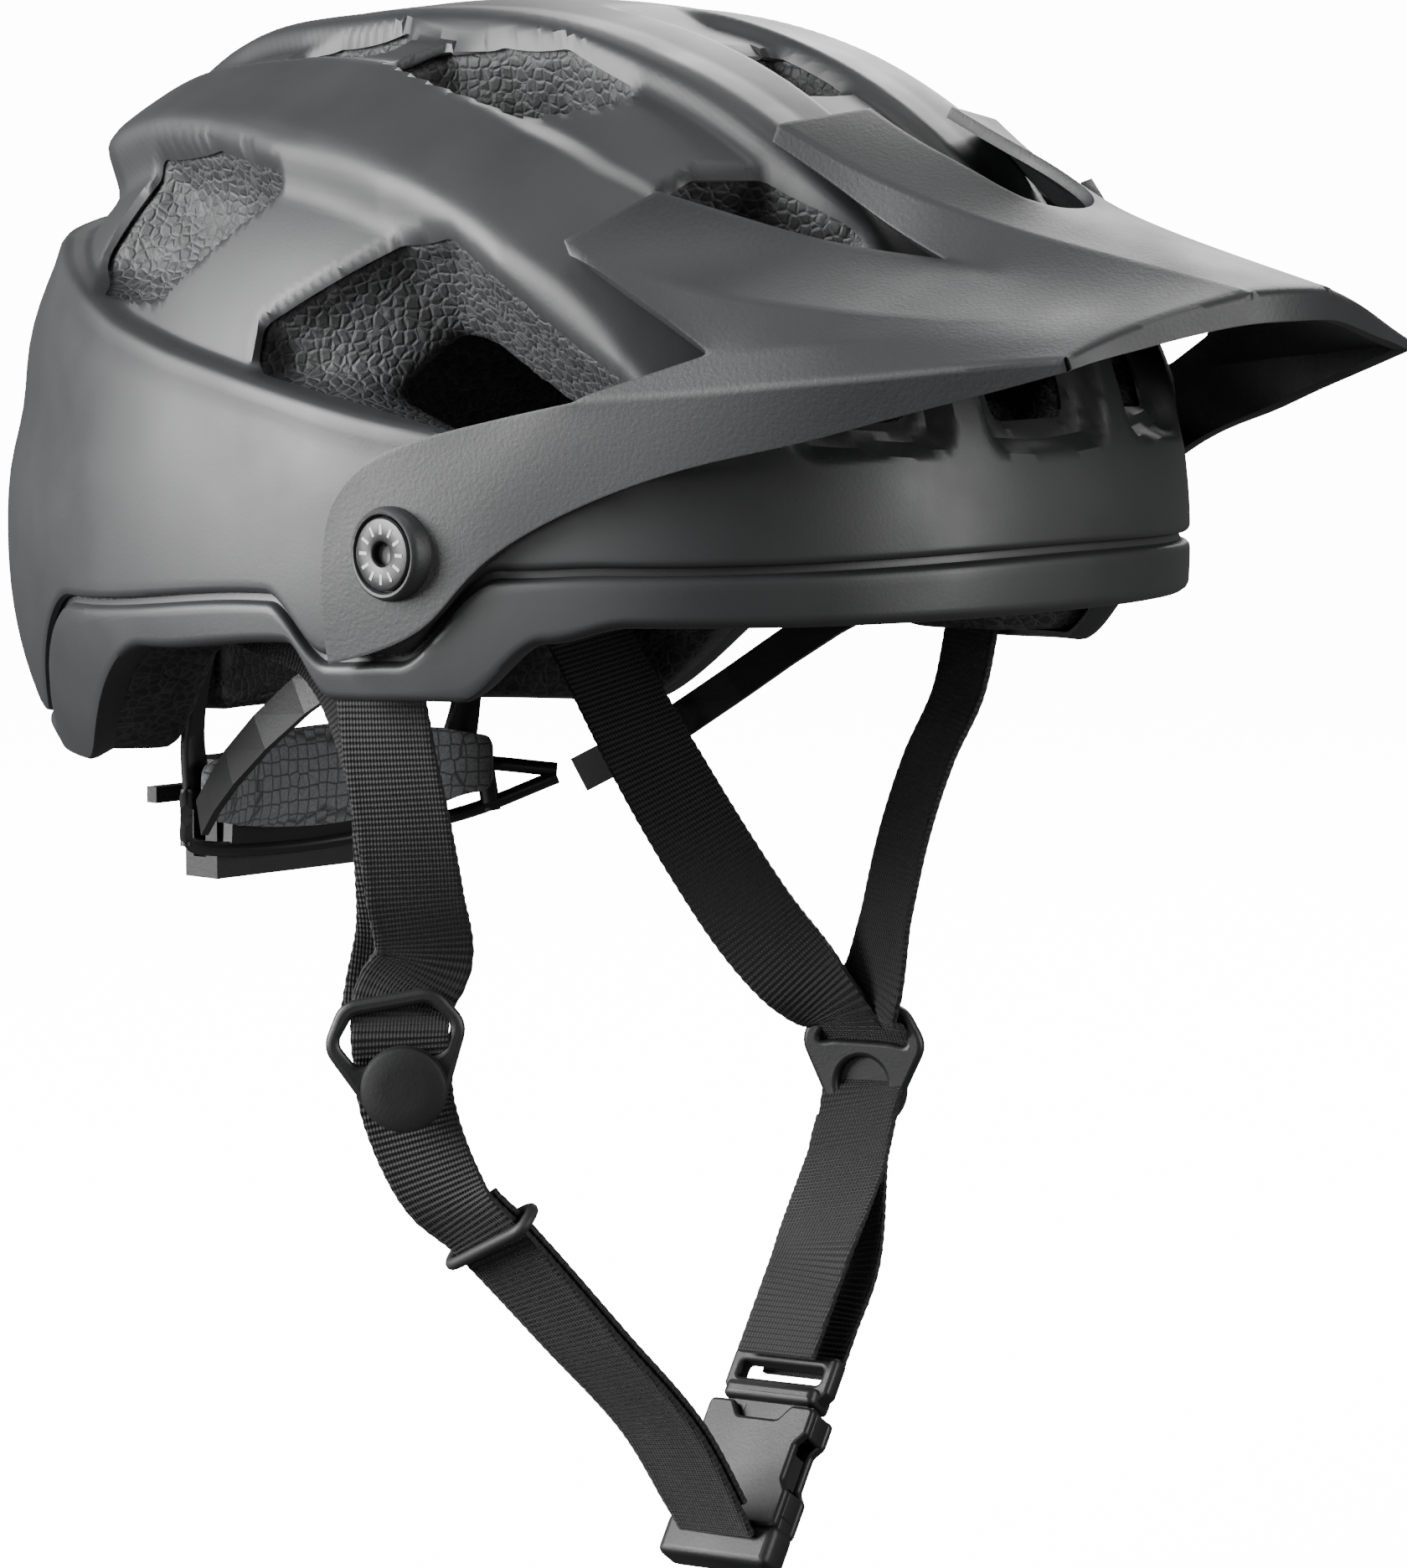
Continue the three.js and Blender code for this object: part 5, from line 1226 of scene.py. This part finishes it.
def build_pad(node, body):
    obj = add_object(f"{node}_cloth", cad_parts[node].data.copy())
    remesh = obj.modifiers.new("even", "REMESH")
    remesh.mode, remesh.voxel_size = "VOXEL", PAD_VOXEL
    obj = settle(obj)
    rest = vertex_values(obj.data, "co")
    normal = vertex_values(obj.data, "normal")
    if node == "cradle_pad":
        middle, half = rest.mean(0), np.abs(rest[:, 0]).max()
        rest[:, 2] = middle[2] + (rest[:, 2] - middle[2]) * (1 - PAD_TAPER * (rest[:, 0] / half) ** 2)
    start = rest - normal * PAD_INSET
    move_vertices(obj.data, start)
    obj = blown_up(obj, start)
    surface = obj.modifiers.new("soft", "SUBSURF")
    surface.levels = surface.render_levels = 1
    obj.data.materials.clear()
    obj.data.materials.append(MESH_CLOTH)
    obj = settle(obj)
    obj.data.set_sharp_from_angle(angle=math.radians(180))
    on_body(obj, body, [node])


# ---- CAD nodes that stay, with softened edges and a finished material ----
KEPT = {"dial_housing": (BLACK, 0.9), "buckle_prong_front": (BLACK, 0.6), "buckle_prong_rear": (BLACK, 0.6)}
for hand in ("right", "left"):
    KEPT |= {f"rack_{hand}": (BLACK, 0.3), f"side_band_{hand}": (BLACK, 0.4),
             f"temple_pin_{hand}": (BLACK, 0.4), f"ear_anchor_{hand}": (BLACK, 0.6),
             f"rear_anchor_{hand}": (BLACK, 0.6), f"screw_insert_{hand}": (BRASS, 0.3)}


def finish_kept():
    for name, (material, radius) in KEPT.items():
        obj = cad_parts[name]
        obj.data.materials.clear()
        obj.data.materials.append(material)
        bevel = obj.modifiers.new("edges", "BEVEL")
        bevel.width, bevel.segments = radius * MM, 3
        bevel.limit_method, bevel.angle_limit = "ANGLE", math.radians(35)
        bevel.harden_normals = True


# ---- scene: floor, light and camera ----
def plain(name, colour, roughness):
    n = Nodes(name)
    n.shader.inputs["Base Color"].default_value = (*colour, 1)
    n.shader.inputs["Roughness"].default_value = roughness
    return n.material


def softbox(name, place, width, height, power):
    light = bpy.data.lights.new(name, "AREA")
    light.shape, light.size, light.size_y, light.energy = "RECTANGLE", width, height, power
    obj = bpy.data.objects.new(name, light)
    bpy.context.scene.collection.objects.link(obj)
    obj.location = place
    obj.rotation_euler = (Vector(LIGHT_AIM) - Vector(place)).to_track_quat("-Z", "Y").to_euler()


WHITE = 14.0          # brightness that the view transform shows as plain white
FILL = 0.13           # brightness of the room for everything but the camera
FLOOR_GAP, FLOOR_HALF = 0.012, 12.0
LIGHT_AIM = (0, -0.02, 0.0)


def build_stage():
    low = CAD_BOX[0].z - FLOOR_GAP
    floor = bpy.data.meshes.new("floor")
    corners = [(x * FLOOR_HALF, y * FLOOR_HALF, low) for x, y in ((-1, -1), (1, -1), (1, 1), (-1, 1))]
    floor.from_pydata(corners, [], [(0, 1, 2, 3)])
    paint = plain("pale_floor", (0.9, 0.9, 0.9), 0.6)
    shader = paint.node_tree.nodes["Principled BSDF"]
    shader.inputs["Emission Color"].default_value = (1, 1, 1, 1)
    shader.inputs["Emission Strength"].default_value = WHITE
    obj = add_object("floor", floor, [paint])
    obj.visible_diffuse = obj.visible_glossy = False
    world = bpy.data.worlds.new("studio")
    bpy.context.scene.world = world
    world.use_nodes = True
    tree = world.node_tree
    path = tree.nodes.new("ShaderNodeLightPath")
    level = tree.nodes.new("ShaderNodeMapRange")
    level.inputs["To Min"].default_value, level.inputs["To Max"].default_value = FILL, WHITE
    tree.links.new(path.outputs["Is Camera Ray"], level.inputs["Value"])
    tree.links.new(level.outputs["Result"], tree.nodes["Background"].inputs["Strength"])
    tree.nodes["Background"].inputs["Color"].default_value = (1, 1, 1, 1)
    softbox("key_light", (-1.2, 0.8, 0.5), 0.8, 1.2, 85)
    softbox("front_light", (0.35, -1.35, 0.3), 0.4, 0.9, 16)
    softbox("top_light", (-0.1, -0.3, 1.5), 0.7, 0.9, 6)
    softbox("far_light", (1.2, 0.6, 0.9), 0.8, 1.0, 22)
    softbox("side_light", (-1.3, -0.35, 0.05), 0.5, 1.2, 5)


AZIMUTH, ELEVATION, DISTANCE, LENS = math.radians(-46), math.radians(4.3), 1.5, 164.4
AIM_RIGHT, AIM_DOWN = 0.0164, 0.0353    # slopes of the camera's aim away from the helmet's centre


def build_camera():
    camera = bpy.data.cameras.new("photo_view")
    camera.sensor_fit, camera.sensor_height, camera.lens = "VERTICAL", 36.0, LENS
    camera.clip_start, camera.clip_end = 0.05, 60.0
    obj = bpy.data.objects.new("photo_view", camera)
    bpy.context.scene.collection.objects.link(obj)
    level = math.cos(ELEVATION)
    back = Vector((math.sin(AZIMUTH) * level, -math.cos(AZIMUTH) * level, math.sin(ELEVATION)))
    right = Vector((math.cos(AZIMUTH), math.sin(AZIMUTH), 0))
    up = back.cross(right)
    ahead = -back + right * AIM_RIGHT - up * AIM_DOWN
    obj.location = back * DISTANCE
    obj.rotation_euler = ahead.to_track_quat("-Z", "Y").to_euler()
    bpy.context.scene.camera = obj


# ---- build ----
for shell, shell_mesh in (("outer_shell", upper_shell_mesh()), ("lower_shell", lower_shell_mesh())):
    on_body(add_object(f"{shell}_skin", shell_mesh, [SHELL_PAINT, SKIN_EDGE]), "helmet", [shell])
on_body(add_object("eps_liner_foam", liner_mesh(), [FOAM]), "helmet", ["eps_liner"])
build_visor()
build_straps()
build_dividers()
build_keeper()
build_buckle()
build_cradle()
for pad in HELMET_PADS:
    build_pad(pad, "helmet")
build_pad("cradle_pad", "cradle")
finish_kept()
build_stage()
build_camera()
